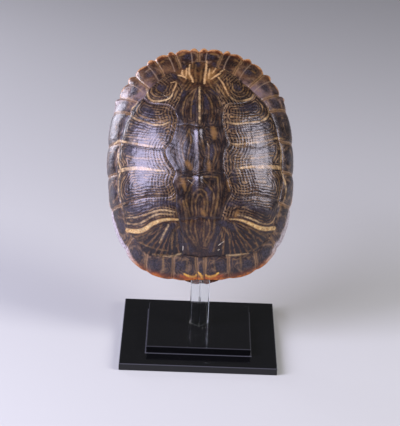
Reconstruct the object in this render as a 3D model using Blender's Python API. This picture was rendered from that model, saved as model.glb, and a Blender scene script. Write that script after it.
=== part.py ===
"""A whole pond turtle shell, hung on a clear angle post over a stand of two square plates.

Units are metres and +Z is up. The origin is the centre of the lower plate's underside, and the
shell's back faces -Y. The shell is drawn in its own axes: x to the side, s along the back from
the neck end to the tail end, and h out of the back. They are then turned to lean on the post.
"""

import math

import bmesh
import bpy
import numpy as np
from mathutils import Matrix, Vector
from mathutils.bvhtree import BVHTree

# Stand
LOWER_SIDE = 0.150
UPPER_SIDE = 0.100
PLATE_THICKNESS = 0.0070
PLATE_BEVEL = 0.0007
SEAT_GAP = 0.0003

# Angle post: two legs that meet in a vertex turned towards -Y
POST_LEG = 0.0132
POST_WALL = 0.0024
POST_VERTEX_Y = -0.0045
POST_BEVEL = 0.0003
POST_TOP_CLEARANCE = 0.0005

# Carapace
HALF_WIDTH = 0.0905
NECK_REACH = 0.119
TAIL_REACH = 0.111
DOME_HEIGHT = 0.054
NECK_RIM_RISE = 0.007
TAIL_RIM_RISE = 0.002
NECK_ROUNDNESS = 3.4
TAIL_ROUNDNESS = 2.35
NECK_TAPER = 0.12
PROFILE_POWER = 2.3
SIDE_STEEPNESS = 0.60
END_STEEPNESS = 1.10
CARAPACE_WALL = 0.0042
OUTLINE_STEPS = 96
DOME_RINGS = (0.16, 0.32, 0.47, 0.61, 0.73, 0.83, 0.91, 0.965, 1.0)

# Plastron: half width and depth below the rim plane, from the neck end to the tail end
LOBE_WIDTHS = (
    (-0.119, 0.021),
    (-0.112, 0.031),
    (-0.100, 0.041),
    (-0.075, 0.0485),
    (-0.050, 0.050),
    (0.040, 0.049),
    (0.060, 0.046),
    (0.076, 0.038),
    (0.088, 0.027),
    (0.094, 0.012),
)
PLASTRON_DEPTHS = (
    (-0.119, 0.0212),
    (-0.105, 0.0245),
    (-0.080, 0.0262),
    (0.030, 0.0265),
    (0.070, 0.0235),
    (0.094, 0.0195),
)
PLASTRON_WALL = 0.0042
LIP_WALL = 0.0032
LIP_BACK = -0.106
LOBE_EDGE_RISE = 0.0012
BRIDGE_FRONT = (-0.058, -0.044)
BRIDGE_REAR = (0.030, 0.044)
BRIDGE_REACH = 0.968
BRIDGE_TOP = 0.0015
FLAT_SHARE = 0.60
PLASTRON_STATIONS = 34
PLASTRON_COLUMNS = 22

# How the shell sits on its post
LEAN_BACK = math.radians(33.0)
LEAN_SIDE = math.radians(3.25)
TURN = math.radians(0.5)
NUCHAL_EDGE = Vector((0.0005, -0.014, 0.0698))


def clear_scene():
    """Remove whatever the file opened with."""
    for item in list(bpy.data.objects):
        bpy.data.objects.remove(item, do_unlink=True)


def make_material(name, color, roughness, transmission=0.0, ior=1.5):
    """A plain Principled material."""
    material = bpy.data.materials.new(name)
    material.use_nodes = True
    shader = material.node_tree.nodes["Principled BSDF"]
    shader.inputs["Base Color"].default_value = (*color, 1.0)
    shader.inputs["Roughness"].default_value = roughness
    shader.inputs["Metallic"].default_value = 0.0
    shader.inputs["Transmission Weight"].default_value = transmission
    shader.inputs["IOR"].default_value = ior
    return material


def make_object(name, verts, faces, material):
    """An object from points and faces, with its normals made to point out."""
    mesh = bpy.data.meshes.new(name)
    mesh.from_pydata([tuple(point) for point in verts], [], faces)
    work = bmesh.new()
    work.from_mesh(mesh)
    bmesh.ops.recalc_face_normals(work, faces=work.faces)
    work.to_mesh(mesh)
    work.free()
    mesh.materials.append(material)
    item = bpy.data.objects.new(name, mesh)
    bpy.context.collection.objects.link(item)
    return item


def smooth_step(low, high, value):
    """0 below low, 1 above high, with an even ease between them."""
    share = min(max((value - low) / (high - low), 0.0), 1.0)
    return share * share * (3.0 - 2.0 * share)


def mix(first, second, share):
    """Straight blend of two numbers or vectors."""
    return first * (1.0 - share) + second * share


# ---------------------------------------------------------------- the stand


def make_plate(name, side, bottom, material):
    """One square plate with eased edges."""
    half = side / 2.0
    work = bmesh.new()
    bmesh.ops.create_cube(work, size=1.0)
    for vert in work.verts:
        vert.co.x *= 2.0 * half
        vert.co.y *= 2.0 * half
        vert.co.z = bottom + (vert.co.z + 0.5) * PLATE_THICKNESS
    bmesh.ops.bevel(work, geom=list(work.edges), offset=PLATE_BEVEL, segments=2,
                    affect="EDGES", profile=0.5)
    mesh = bpy.data.meshes.new(name)
    work.to_mesh(mesh)
    work.free()
    mesh.materials.append(material)
    item = bpy.data.objects.new(name, mesh)
    bpy.context.collection.objects.link(item)
    return item


def post_outline():
    """The angle's cross-section: a right angle whose outer vertex faces -Y."""
    leg_step = POST_LEG * math.sqrt(0.5)
    wall_step = POST_WALL * math.sqrt(0.5)
    vertex = Vector((0.0, POST_VERTEX_Y))
    inner = Vector((0.0, POST_VERTEX_Y + 2.0 * wall_step))
    right_tip = vertex + Vector((leg_step, leg_step))
    right_back = right_tip + Vector((-wall_step, wall_step))
    left_back = Vector((-right_back.x, right_back.y))
    left_tip = Vector((-right_tip.x, right_tip.y))
    return [vertex, right_tip, right_back, inner, left_back, left_tip]


def make_post(bottom, vault, material):
    """The clear angle, standing on the upper plate and reaching up to the inside of the back."""
    outline = post_outline()
    start = 0.09
    reach = [vault.ray_cast(Vector((corner.x, corner.y, start)), Vector((0.0, 0.0, 1.0)))[0].z
             for corner in outline]
    top = min(reach) - POST_TOP_CLEARANCE
    work = bmesh.new()
    floor = work.faces.new([work.verts.new((corner.x, corner.y, bottom)) for corner in outline])
    raised = bmesh.ops.extrude_face_region(work, geom=[floor])
    lifted = [part for part in raised["geom"] if isinstance(part, bmesh.types.BMVert)]
    bmesh.ops.translate(work, verts=lifted, vec=(0.0, 0.0, top - bottom))
    bmesh.ops.recalc_face_normals(work, faces=work.faces)
    bmesh.ops.bevel(work, geom=list(work.edges), offset=POST_BEVEL, segments=1,
                    affect="EDGES", profile=0.5)
    mesh = bpy.data.meshes.new("acrylic_post")
    work.to_mesh(mesh)
    work.free()
    mesh.materials.append(material)
    item = bpy.data.objects.new("acrylic_post", mesh)
    bpy.context.collection.objects.link(item)
    return item


# ---------------------------------------------------------------- the carapace


def neck_taper(place):
    """How much narrower the shell is towards the neck than a plain rounded outline."""
    return 1.0 - NECK_TAPER * (min(place, 0.0) / NECK_REACH) ** 2


def dome_point(angle, share):
    """The back's outer surface at an angle from +x towards the tail, as (x, s, h).

    share runs from 0 at the top of the dome to 1 at its edge.
    """
    cosine, sine = math.cos(angle), math.sin(angle)
    power = 2.0 / (TAIL_ROUNDNESS if sine > 0.0 else NECK_ROUNDNESS)
    reach = TAIL_REACH if sine > 0.0 else NECK_REACH
    rise = TAIL_RIM_RISE if sine > 0.0 else NECK_RIM_RISE
    s = share * reach * math.copysign(abs(sine) ** power, sine)
    x = share * HALF_WIDTH * neck_taper(s) * math.copysign(abs(cosine) ** power, cosine)
    steepness = mix(SIDE_STEEPNESS, END_STEEPNESS, sine ** 2)
    fall = max(1.0 - share ** PROFILE_POWER, 0.0) ** steepness
    return Vector((x, s, mix(rise * abs(sine) ** 3, DOME_HEIGHT, fall)))


def dome_normal(angle, share):
    """The outward direction of the back's surface."""
    step = 0.001
    inner_share = min(share, 1.0 - step)
    across = dome_point(angle + step, inner_share) - dome_point(angle - step, inner_share)
    outward = dome_point(angle, inner_share + step) - dome_point(angle, inner_share - step)
    return outward.cross(across).normalized()


def outline_angles():
    """Angles spaced evenly along the carapace's edge."""
    fine = np.linspace(-math.pi, math.pi, 2881)
    points = np.array([dome_point(angle, 1.0) for angle in fine])
    lengths = np.concatenate([[0.0], np.cumsum(np.linalg.norm(np.diff(points, axis=0), axis=1))])
    marks = np.linspace(0.0, lengths[-1], OUTLINE_STEPS + 1)[:-1]
    return np.interp(marks, lengths, fine)


def carapace_solid():
    """Points and faces of the back: an outer dome, an inner dome and the edge between them."""
    angles = outline_angles()
    count = len(angles)
    outer = [Vector((0.0, 0.0, DOME_HEIGHT))]
    inner = [Vector((0.0, 0.0, DOME_HEIGHT - CARAPACE_WALL))]
    for share in DOME_RINGS:
        for angle in angles:
            point = dome_point(angle, share)
            outer.append(point)
            inner.append(point - dome_normal(angle, share) * CARAPACE_WALL)
    shift = len(outer)
    faces = []
    for step in range(count):
        after = (step + 1) % count
        faces.append((0, 1 + step, 1 + after))
        faces.append((shift, shift + 1 + after, shift + 1 + step))
        for ring in range(len(DOME_RINGS) - 1):
            near = 1 + ring * count
            far = near + count
            faces.append((near + step, far + step, far + after, near + after))
            faces.append((shift + near + step, shift + near + after,
                          shift + far + after, shift + far + step))
        edge = 1 + (len(DOME_RINGS) - 1) * count
        faces.append((edge + step, shift + edge + step, shift + edge + after, edge + after))
    return outer + inner, faces


# ---------------------------------------------------------------- the plastron and its bridges


def table_value(table, place):
    """Read a value at a place along the shell from a short table of (place, value)."""
    return float(np.interp(place, [row[0] for row in table], [row[1] for row in table]))


def half_width_at(place):
    """The carapace's half width at a place along the shell."""
    reach = TAIL_REACH if place > 0.0 else NECK_REACH
    roundness = TAIL_ROUNDNESS if place > 0.0 else NECK_ROUNDNESS
    share = min(abs(place) / reach, 1.0)
    return HALF_WIDTH * neck_taper(place) * (1.0 - share ** roundness) ** (1.0 / roundness)


def plastron_point(place, side):
    """The belly's outer surface; side runs from -1 to 1 across it."""
    lobe = table_value(LOBE_WIDTHS, place)
    depth = table_value(PLASTRON_DEPTHS, place)
    joined = smooth_step(*BRIDGE_FRONT, place) * (1.0 - smooth_step(*BRIDGE_REAR, place))
    flat = lobe * mix(0.86, 1.0, joined)
    across = abs(side)
    if across <= FLAT_SHARE:
        x, h = flat * across / FLAT_SHARE, -depth
    else:
        climb = (across - FLAT_SHARE) / (1.0 - FLAT_SHARE)
        free = Vector((mix(flat, lobe, climb), -depth + LOBE_EDGE_RISE * climb * climb))
        end = Vector((half_width_at(place) * BRIDGE_REACH, BRIDGE_TOP))
        bend = Vector((mix(lobe, end.x, 0.62), -depth))
        start = Vector((lobe, -depth))
        wing = mix(mix(start, bend, climb), mix(bend, end, climb), climb)
        x, h = mix(free, wing, joined)
    return Vector((math.copysign(x, side), place, h))


def plastron_stations():
    """Places along the belly, closer together where the bridges begin and end."""
    low, high = LOBE_WIDTHS[0][0], LOBE_WIDTHS[-1][0]
    fine = np.linspace(low, high, 600)
    crowding = [1.0 + 2.5 * math.exp(-((place - sum(BRIDGE_FRONT) / 2.0) / 0.009) ** 2)
                + 2.5 * math.exp(-((place - sum(BRIDGE_REAR) / 2.0) / 0.009) ** 2)
                for place in fine]
    gathered = np.cumsum(crowding) - crowding[0]
    marks = np.linspace(0.0, gathered[-1], PLASTRON_STATIONS)
    return np.interp(marks, gathered, fine)


def belly_wall(place):
    """The belly's thickness, which thins towards the lip at the neck."""
    return mix(LIP_WALL, PLASTRON_WALL, smooth_step(LOBE_WIDTHS[0][0], LIP_BACK, place))


def plastron_solid():
    """Points and faces of the belly and its bridges, one closed slab."""
    columns = np.linspace(-1.0, 1.0, PLASTRON_COLUMNS + 1)
    under = [plastron_point(place, side) for place in plastron_stations() for side in columns]
    upper = [point + Vector((0.0, 0.0, belly_wall(point.y))) for point in under]
    shift = len(under)
    width = len(columns)
    faces = []
    for row in range(PLASTRON_STATIONS - 1):
        for column in range(width - 1):
            corner = row * width + column
            quad = (corner, corner + 1, corner + width + 1, corner + width)
            faces.append(quad)
            faces.append(tuple(shift + index for index in reversed(quad)))
    first_row = list(range(width))
    right_side = [row * width + width - 1 for row in range(PLASTRON_STATIONS)]
    last_row = [(PLASTRON_STATIONS - 1) * width + column for column in reversed(range(width))]
    left_side = [row * width for row in reversed(range(PLASTRON_STATIONS))]
    border = first_row[:-1] + right_side[:-1] + last_row[:-1] + left_side[:-1]
    for index, here in enumerate(border):
        there = border[(index + 1) % len(border)]
        faces.append((here, shift + here, shift + there, there))
    return under + upper, faces


def shell_placement():
    """Turn the shell's own axes to the leaning pose and hang its nuchal edge on its place."""
    axes = Matrix(((1.0, 0.0, 0.0),
                   (0.0, math.sin(LEAN_BACK), -math.cos(LEAN_BACK)),
                   (0.0, math.cos(LEAN_BACK), math.sin(LEAN_BACK))))
    turned = Matrix.Rotation(TURN, 3, "Z").inverted() @ Matrix.Rotation(-LEAN_SIDE, 3, "Y") @ axes
    nuchal = turned @ Vector((0.0, -NECK_REACH, NECK_RIM_RISE))
    return Matrix.Translation(NUCHAL_EDGE - nuchal) @ turned.to_4x4()


def make_shell(material):
    """Back, bridges and belly, joined into one body and leaned back."""
    placement = shell_placement()
    belly = make_object("belly_guide", *plastron_solid(), material)
    belly.matrix_world = placement
    belly.hide_render = True
    belly.display_type = "WIRE"
    shell = make_object("turtle_shell", *carapace_solid(), material)
    shell.matrix_world = placement
    join = shell.modifiers.new("join_belly", "BOOLEAN")
    join.operation = "UNION"
    join.solver = "EXACT"
    join.object = belly
    shell.data.shade_smooth()
    return shell


def world_surface(item):
    """A ray-cast tree of an object's evaluated surface, in world space."""
    bpy.context.view_layer.update()
    final = item.evaluated_get(bpy.context.evaluated_depsgraph_get())
    work = bmesh.new()
    work.from_mesh(final.to_mesh())
    work.transform(item.matrix_world)
    tree = BVHTree.FromBMesh(work)
    work.free()
    return tree


def main():
    """Build every piece."""
    clear_scene()
    bone = make_material("turtle_shell", (0.16, 0.095, 0.045), 0.38)
    acrylic = make_material("clear_acrylic", (0.96, 0.98, 1.0), 0.04, 1.0, 1.49)
    black = make_material("black_gloss", (0.012, 0.012, 0.014), 0.16)
    make_plate("lower_plinth", LOWER_SIDE, 0.0, black)
    upper_bottom = PLATE_THICKNESS + SEAT_GAP
    make_plate("upper_plinth", UPPER_SIDE, upper_bottom, black)
    shell = make_shell(bone)
    make_post(upper_bottom + PLATE_THICKNESS + SEAT_GAP, world_surface(shell), acrylic)


main()
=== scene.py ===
import math
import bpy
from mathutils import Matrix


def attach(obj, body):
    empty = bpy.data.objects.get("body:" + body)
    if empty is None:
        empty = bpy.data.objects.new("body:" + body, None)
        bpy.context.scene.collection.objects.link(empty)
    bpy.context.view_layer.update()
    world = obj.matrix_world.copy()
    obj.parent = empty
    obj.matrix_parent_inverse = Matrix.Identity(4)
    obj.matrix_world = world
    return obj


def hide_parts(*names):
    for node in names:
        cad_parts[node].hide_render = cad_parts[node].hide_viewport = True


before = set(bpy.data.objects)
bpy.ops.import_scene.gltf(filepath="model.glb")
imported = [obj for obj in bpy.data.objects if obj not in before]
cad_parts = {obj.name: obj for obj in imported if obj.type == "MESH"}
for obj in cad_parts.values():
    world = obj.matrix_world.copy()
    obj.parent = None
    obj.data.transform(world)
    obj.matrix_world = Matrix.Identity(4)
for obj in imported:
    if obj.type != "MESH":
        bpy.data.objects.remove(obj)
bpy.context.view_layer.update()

from types import SimpleNamespace

import bpy
import numpy as np
from mathutils import Matrix, Vector, kdtree
from mathutils.geometry import delaunay_2d_cdt

# The look of a whole pond turtle shell on its post and plates. The shell is worked out in its own
# axes, in millimetres: x to the side, s along the back from neck to tail, h out of the back.

MM = 0.001

# Carapace, as the CAD model has it
HALF_WIDTH = 90.5
NECK_REACH = 119.0
TAIL_REACH = 111.0
DOME_HEIGHT = 54.0
NECK_RIM_RISE = 7.0
TAIL_RIM_RISE = 2.0
NECK_ROUNDNESS = 3.4
TAIL_ROUNDNESS = 2.35
NECK_TAPER = 0.12
PROFILE_POWER = 2.3
SIDE_STEEPNESS = 0.60
END_STEEPNESS = 1.10
WALL = 4.2
EDGE_WALL = 3.7
EDGE_BULGE = 1.1

# Plastron and bridges, as the CAD model has them
LOBE_WIDTHS = ((-119, 21), (-112, 31), (-100, 41), (-75, 48.5), (-50, 50), (40, 49), (60, 46),
               (76, 38), (88, 27), (94, 12))
PLASTRON_DEPTHS = ((-119, 21.2), (-105, 24.5), (-80, 26.2), (30, 26.5), (70, 23.5), (94, 19.5))
VISIBLE_LIP = ((-119, 0.84), (-114, 0.80), (-106, 0.90), (-96, 1.0))
LIP_WALL = 3.2
LIP_BACK = -106.0
LOBE_EDGE_RISE = 1.2
BRIDGE_FRONT = (-58.0, -44.0)
BRIDGE_REAR = (30.0, 44.0)
BRIDGE_REACH = 0.968
BRIDGE_TOP = 1.5
FLAT_SHARE = 0.60

# Pose of the shell on its post
LEAN_BACK = math.radians(33.0)
LEAN_SIDE = math.radians(3.25)
TURN = math.radians(0.5)
NUCHAL_EDGE = Vector((0.5, -14.0, 69.8))

# Plates of the stand, as the CAD model has them
LOWER_HALF = 75.0
UPPER_HALF = 50.0
PLATE = 7.0
ACRYLIC_IOR = 1.49

# Mesh spacing
TOP_SPACING = 0.95
SEAM_SPACING = 0.75
SEAM_SIDES = (0.55, -0.55, 1.15, -1.15)
RIM_SPACING = 0.85
INSIDE_SPACING = 3.6
CLOSEST = 0.42
JUST_INSIDE = 0.99999
LAST_SHARE = 0.9999
FLAT_REACH = 120  # about the length from the top of the back to its edge
SEAM_LIMIT = 0.9975  # seam points stay inside this share of it
FILL_LIMIT = 0.994  # and filling points inside this one

# ------------------------------------------------------------------ seams, in shell millimetres

VERTEBRAL_LEFT = [(-17.5, -97.5), (-18, -86), (-17, -80), (-18.5, -73.5), (-20, -66.8),
                  (-22.5, -54), (-22.7, -41.1), (-25.3, -33), (-23.2, -26), (-22.5, -22.4),
                  (-27.2, -14), (-30.6, -8), (-31.9, -0.8), (-27.1, 5), (-23.6, 14),
                  (-21.5, 22.6), (-20.5, 30.4), (-22.7, 37.9), (-18.8, 47.7), (-16, 54.2),
                  (-15.3, 61), (-17.2, 66.3), (-21, 73), (-26, 79.5), (-29, 83.5)]
VERTEBRAL_RIGHT = [(17, -99), (18, -86), (17.5, -80), (18.5, -73.5), (20.5, -66), (24.5, -54),
                   (30.6, -42.3), (28.7, -35), (26.8, -28), (24, -22.4), (23.6, -16.2),
                   (24.3, -8), (26.5, 0), (29.9, 3.6), (26.6, 13.2), (24.7, 21.1), (23.5, 30),
                   (24.4, 37.6), (20, 48), (17.5, 55), (16.5, 61), (17.5, 67), (21, 73),
                   (26, 79.5), (29, 83.5)]
MARGINAL_LEFT = [(0, -100.5), (-8, -99), (-17.5, -97.5), (-24.8, -98.7), (-38.4, -97.9),
                 (-45.5, -97), (-51.4, -95), (-55.4, -90.9), (-58.3, -85.8), (-63.5, -80.3),
                 (-68.9, -75.5), (-70.6, -71.1), (-72.2, -63.2), (-74.5, -54.4), (-75.5, -48.2),
                 (-78.8, -38.1), (-80.2, -29.6), (-80.5, -17.7), (-80.3, -5.4), (-77.8, 5.3),
                 (-76.5, 11.8), (-74.5, 22), (-71.1, 33), (-67.4, 39.3), (-63.8, 45.8),
                 (-60.4, 51.9), (-53.8, 56.2), (-49.4, 65.3), (-45.1, 69.1), (-38.7, 75.4),
                 (-31.6, 81.5), (-29, 83.5), (-21.4, 84.5), (-17.5, 87.6), (-12.2, 94),
                 (-6, 96), (0, 96.7)]
MARGINAL_RIGHT = [(0, -100.5), (8, -99.5), (17, -99), (31.4, -99.5), (45.2, -97.6), (53, -95.5),
                  (57.9, -88.7), (63.4, -83.3), (69, -76.5), (71.4, -68.4), (73.3, -59.7),
                  (75.8, -47.3), (77.9, -37.2), (80.2, -28.3), (80.2, -20.5), (79.6, -2.1),
                  (78.7, 6.2), (76.8, 11.5), (74.1, 27.4), (69.3, 39.8), (65.1, 48),
                  (60.2, 53.8), (55.5, 58.8), (48.9, 66), (40.4, 73.1), (33.3, 80.5),
                  (29, 83.5), (21.1, 86.9), (11.7, 91), (5.9, 95.6), (0, 96.7)]
CROSS_SEAMS = [
    [(-20, -66.8), (-14.6, -66.5), (-7, -66.6), (0, -64.8), (7, -66.4), (15, -66.4), (20.5, -66)],
    [(-22.5, -22.4), (-17, -23.3), (-11.7, -27.4), (-4.9, -26.9), (0, -25.8), (5, -26.6),
     (12, -26.5), (18, -23.5), (24, -22.4)],
    [(-21.5, 22.6), (-11.7, 23.1), (-3.9, 21.8), (1.7, 20.4), (9, 21.8), (17, 22), (24.7, 21.1)],
    [(-17.2, 66.3), (-9, 62.8), (-4.6, 64.5), (0.4, 63.6), (5, 64.8), (10, 63.5), (17.5, 67)],
    [(-75.5, -48.2), (-69.4, -46.9), (-60.8, -46.2), (-50.3, -45.4), (-36.5, -45.8),
     (-27.6, -45.2), (-22.7, -41.1)],
    [(75.8, -47.3), (67.4, -45.8), (60.5, -45.3), (50.9, -45.1), (44.1, -46.5), (34.6, -46.2),
     (30.6, -42.3)],
    [(-76.5, 11.8), (-69.7, 9.3), (-60.4, 5.4), (-49.9, 2.2), (-42.9, 0.5), (-31.9, -0.8)],
    [(76.8, 11.5), (68.2, 6.9), (58.5, 2), (46.2, 1.5), (35.3, 2.2), (29.9, 3.6)],
    [(-53.8, 56.2), (-47.6, 49.6), (-41.8, 47.1), (-33.1, 45.9), (-28.1, 44), (-22.7, 37.9)],
    [(55.5, 58.8), (50.1, 50.6), (42.9, 46.6), (31.5, 45), (28, 44.3), (24.4, 37.6)],
]
# Marginal seams of the left side, rim end first, from the neck to the tail; the right mirrors it
MARGINAL_SEAMS = [
    ((-3.2, -121), (-4.2, -99.7)), ((-28, -121), (-26.4, -98.6)), ((-53.5, -115), (-52, -94.6)),
    ((-77, -92), (-65.6, -78.4)), ((-89, -50.5), (-75.5, -48.2)), ((-92, -17.4), (-80.5, -17.8)),
    ((-93, 14.2), (-76.5, 11.8)), ((-89, 49), (-66.6, 40.6)), ((-80, 64), (-60.4, 51.9)),
    ((-64, 86.5), (-48.6, 66.2)), ((-43.5, 101), (-33.8, 79.6)), ((-24.2, 110), (-17.5, 87.6)),
    ((0, 114), (0, 96.7)),
]
FIRST_SCALLOPED = 8  # the first marginal, from the neck, whose edge is toothed
TOOTH_START = 0.62  # where the tooth begins along a toothed edge
MIDDLE_NOTCH = 0.63  # where the pale notch line begins along it
WALL_REACH = 0.8  # points this near a seam part one scute from the next
LINE_PERIOD = 2.6  # thin growth lines of every scute
RIDGE_PERIOD = 2.9  # ridges of the costals beside the vertebrals
FAN_RAYS = 40.0  # how fast the rays of the first costals turn
BELLY_PERIOD = 2.4  # growth lines of the belly
RIB_PERIOD = 23.0  # ribs and their seams inside the vault


def mirrored(points):
    """The same points on the other side."""
    return [(-x, s) for x, s in points]


# ------------------------------------------------------------------ the dome


def smooth_step(low, high, value):
    """0 below low, 1 above high, with an even ease between them."""
    share = np.clip((value - low) / (high - low), 0.0, 1.0)
    return share * share * (3.0 - 2.0 * share)


def dome_share(x, s):
    """(share, squared sine) of places on the back: share is 0 on top and 1 at the edge."""
    power = np.where(s > 0, TAIL_ROUNDNESS, NECK_ROUNDNESS)
    reach = np.where(s > 0, TAIL_REACH, NECK_REACH)
    width = HALF_WIDTH * (1.0 - NECK_TAPER * (np.minimum(s, 0.0) / NECK_REACH) ** 2)
    side = np.abs(x / width) ** power
    end = np.abs(s / reach) ** power
    total = np.maximum(side + end, 1e-12)
    return total ** (1.0 / power), end / total


def dome_height(x, s):
    """Height of the back's plain outer surface."""
    share, sine2 = dome_share(x, s)
    rise = np.where(s > 0, TAIL_RIM_RISE, NECK_RIM_RISE) * sine2 ** 1.5
    steepness = SIDE_STEEPNESS * (1.0 - sine2) + END_STEEPNESS * sine2
    fall = np.maximum(1.0 - share ** PROFILE_POWER, 0.0) ** steepness
    return rise * (1.0 - fall) + DOME_HEIGHT * fall


def dome_points(places):
    """Points of the back above places (x, s)."""
    return np.column_stack([places, dome_height(places[:, 0], places[:, 1])])


def dome_normals(places):
    """Outward directions of the back's plain surface, taken just inside its edge."""
    share, _ = dome_share(places[:, 0], places[:, 1])
    held = places * np.minimum(1.0, 0.992 / np.maximum(share, 1e-6))[:, None]
    step = 0.05
    across = (dome_height(held[:, 0] + step, held[:, 1])
              - dome_height(held[:, 0] - step, held[:, 1])) / (2 * step)
    along = (dome_height(held[:, 0], held[:, 1] + step)
             - dome_height(held[:, 0], held[:, 1] - step)) / (2 * step)
    normals = np.column_stack([-across, -along, np.ones(len(held))])
    return normals / np.linalg.norm(normals, axis=1)[:, None]


class FlatMap:
    """Spreads the dome on a plane so that lengths from the top are kept, and back."""

    TURNS = 720
    STEPS = 220

    def __init__(self):
        self.angles = np.linspace(-math.pi, math.pi, self.TURNS + 1)
        cosine, sine = np.cos(self.angles), np.sin(self.angles)
        low, high = np.zeros(self.TURNS + 1), np.full(self.TURNS + 1, 200.0)
        for _ in range(50):
            middle = (low + high) / 2
            outside = dome_share(middle * cosine, middle * sine)[0] > 1.0
            high = np.where(outside, middle, high)
            low = np.where(outside, low, middle)
        self.rim = low
        ease = 1.0 - (1.0 - np.linspace(0, 1, self.STEPS + 1)) ** 2
        radius = self.rim[:, None] * ease[None, :]
        x, s = radius * cosine[:, None], radius * sine[:, None]
        h = dome_height(x, s)
        runs = np.sqrt(np.diff(x) ** 2 + np.diff(s) ** 2 + np.diff(h) ** 2)
        length = np.concatenate([np.zeros((self.TURNS + 1, 1)), np.cumsum(runs, axis=1)], axis=1)
        self.length = length[:, -1]
        self.to_flat = length / self.length[:, None]
        even = np.linspace(0, 1, self.STEPS + 1)
        self.from_flat = np.array([np.interp(even, row, np.linspace(0, 1, self.STEPS + 1))
                                   for row in self.to_flat])

    def look(self, table, angle, share):
        """Reads a table of angle and share between its entries."""
        turn = (angle + math.pi) / (2 * math.pi) * self.TURNS
        row = np.clip(turn.astype(int), 0, self.TURNS - 1)
        turn_rest = turn - row
        place = np.clip(share, 0, 1) * self.STEPS
        column = np.clip(place.astype(int), 0, self.STEPS - 1)
        rest = place - column
        near = table[row, column] * (1 - rest) + table[row, column + 1] * rest
        far = table[row + 1, column] * (1 - rest) + table[row + 1, column + 1] * rest
        return near * (1 - turn_rest) + far * turn_rest

    def flatten(self, places):
        """(x, s) to the plane."""
        angle = np.arctan2(places[:, 1], places[:, 0])
        share = np.hypot(places[:, 0], places[:, 1]) / np.interp(angle, self.angles, self.rim)
        eased = 1.0 - np.sqrt(np.clip(1.0 - share, 0, 1))
        reach = self.look(self.to_flat, angle, eased) * np.interp(angle, self.angles, self.length)
        return np.column_stack([np.cos(angle) * reach, np.sin(angle) * reach])

    def raise_up(self, flat):
        """The plane to (x, s)."""
        angle = np.arctan2(flat[:, 1], flat[:, 0])
        share = np.hypot(flat[:, 0], flat[:, 1]) / np.interp(angle, self.angles, self.length)
        eased = self.look(self.from_flat, angle, share)
        radius = (1.0 - (1.0 - eased) ** 2) * np.interp(angle, self.angles, self.rim)
        return np.column_stack([np.cos(angle) * radius, np.sin(angle) * radius])

    def edge_share(self, flat):
        """How far out points of the plane are: 1 at the edge."""
        angle = np.arctan2(flat[:, 1], flat[:, 0])
        return np.hypot(flat[:, 0], flat[:, 1]) / np.interp(angle, self.angles, self.length)


FLAT = FlatMap()

# ------------------------------------------------------------------ lines on the dome


def curve_through(points, spacing):
    """A smooth line through a few points, sampled at even steps."""
    given = np.array(points, float)
    ends = np.vstack([2 * given[0] - given[1], given, 2 * given[-1] - given[-2]])
    pieces = []
    for index in range(1, len(ends) - 2):
        before, start, end, after = ends[index - 1:index + 3]
        count = max(int(np.linalg.norm(end - start) / (spacing / 3)), 2)
        t = np.linspace(0, 1, count, endpoint=False)[:, None]
        pieces.append(0.5 * (2 * start + (end - before) * t
                             + (2 * before - 5 * start + 4 * end - after) * t ** 2
                             + (3 * start - before - 3 * end + after) * t ** 3))
    line = np.vstack(pieces + [given[-1:]])
    share = dome_share(line[:, 0], line[:, 1])[0]
    beyond = share >= LAST_SHARE
    line[beyond] *= (LAST_SHARE / share[beyond])[:, None]
    alone = np.concatenate([[True], np.linalg.norm(np.diff(line, axis=0), axis=1) > 0.02])
    kept = ~beyond
    kept[1:] |= beyond[1:] & ~beyond[:-1]
    kept[:-1] |= beyond[:-1] & ~beyond[1:]
    line = line[kept & alone]
    solid = dome_points(line)
    length = np.concatenate([[0], np.cumsum(np.linalg.norm(np.diff(solid, axis=0), axis=1))])
    count = max(int(length[-1] / spacing), 1)
    marks = np.linspace(0, length[-1], count + 1)
    return np.column_stack([np.interp(marks, length, line[:, 0]),
                            np.interp(marks, length, line[:, 1])])


def wander(places, size, scale, seed):
    """A soft, repeatable wander of the plane, as a sum of a few sine waves."""
    generator = np.random.default_rng(seed)
    total = np.zeros(len(places))
    for octave in range(5):
        direction = generator.uniform(0, 2 * math.pi)
        phase = generator.uniform(0, 2 * math.pi)
        wave = (places[:, 0] * math.cos(direction) + places[:, 1] * math.sin(direction)) / scale
        total += np.sin(wave * 2 * math.pi * (1 + 0.37 * octave) + phase) / (1 + 0.4 * octave)
    return total * size / 2.2


def seam_lines():
    """Every seam of the back as (kind, line)."""
    lines = [("side", VERTEBRAL_LEFT), ("side", VERTEBRAL_RIGHT),
             ("edge", MARGINAL_LEFT), ("edge", MARGINAL_RIGHT)]
    lines += [("cross", points) for points in CROSS_SEAMS]
    for number, ends in enumerate(MARGINAL_SEAMS):
        (x0, s0), (x1, s1) = ends
        bow = 0.6 * math.sin(number * 2.3)
        middle = ((x0 + x1) / 2 + bow * (s1 - s0) / 20, (s0 + s1) / 2 - bow * (x1 - x0) / 20)
        points = [ends[0], middle, ends[1]]
        lines.append(("marginal", points))
        if x0 != 0:
            lines.append(("marginal", mirrored(points)))
    return [(kind, curve_through(points, SEAM_SPACING)) for kind, points in lines]


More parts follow.
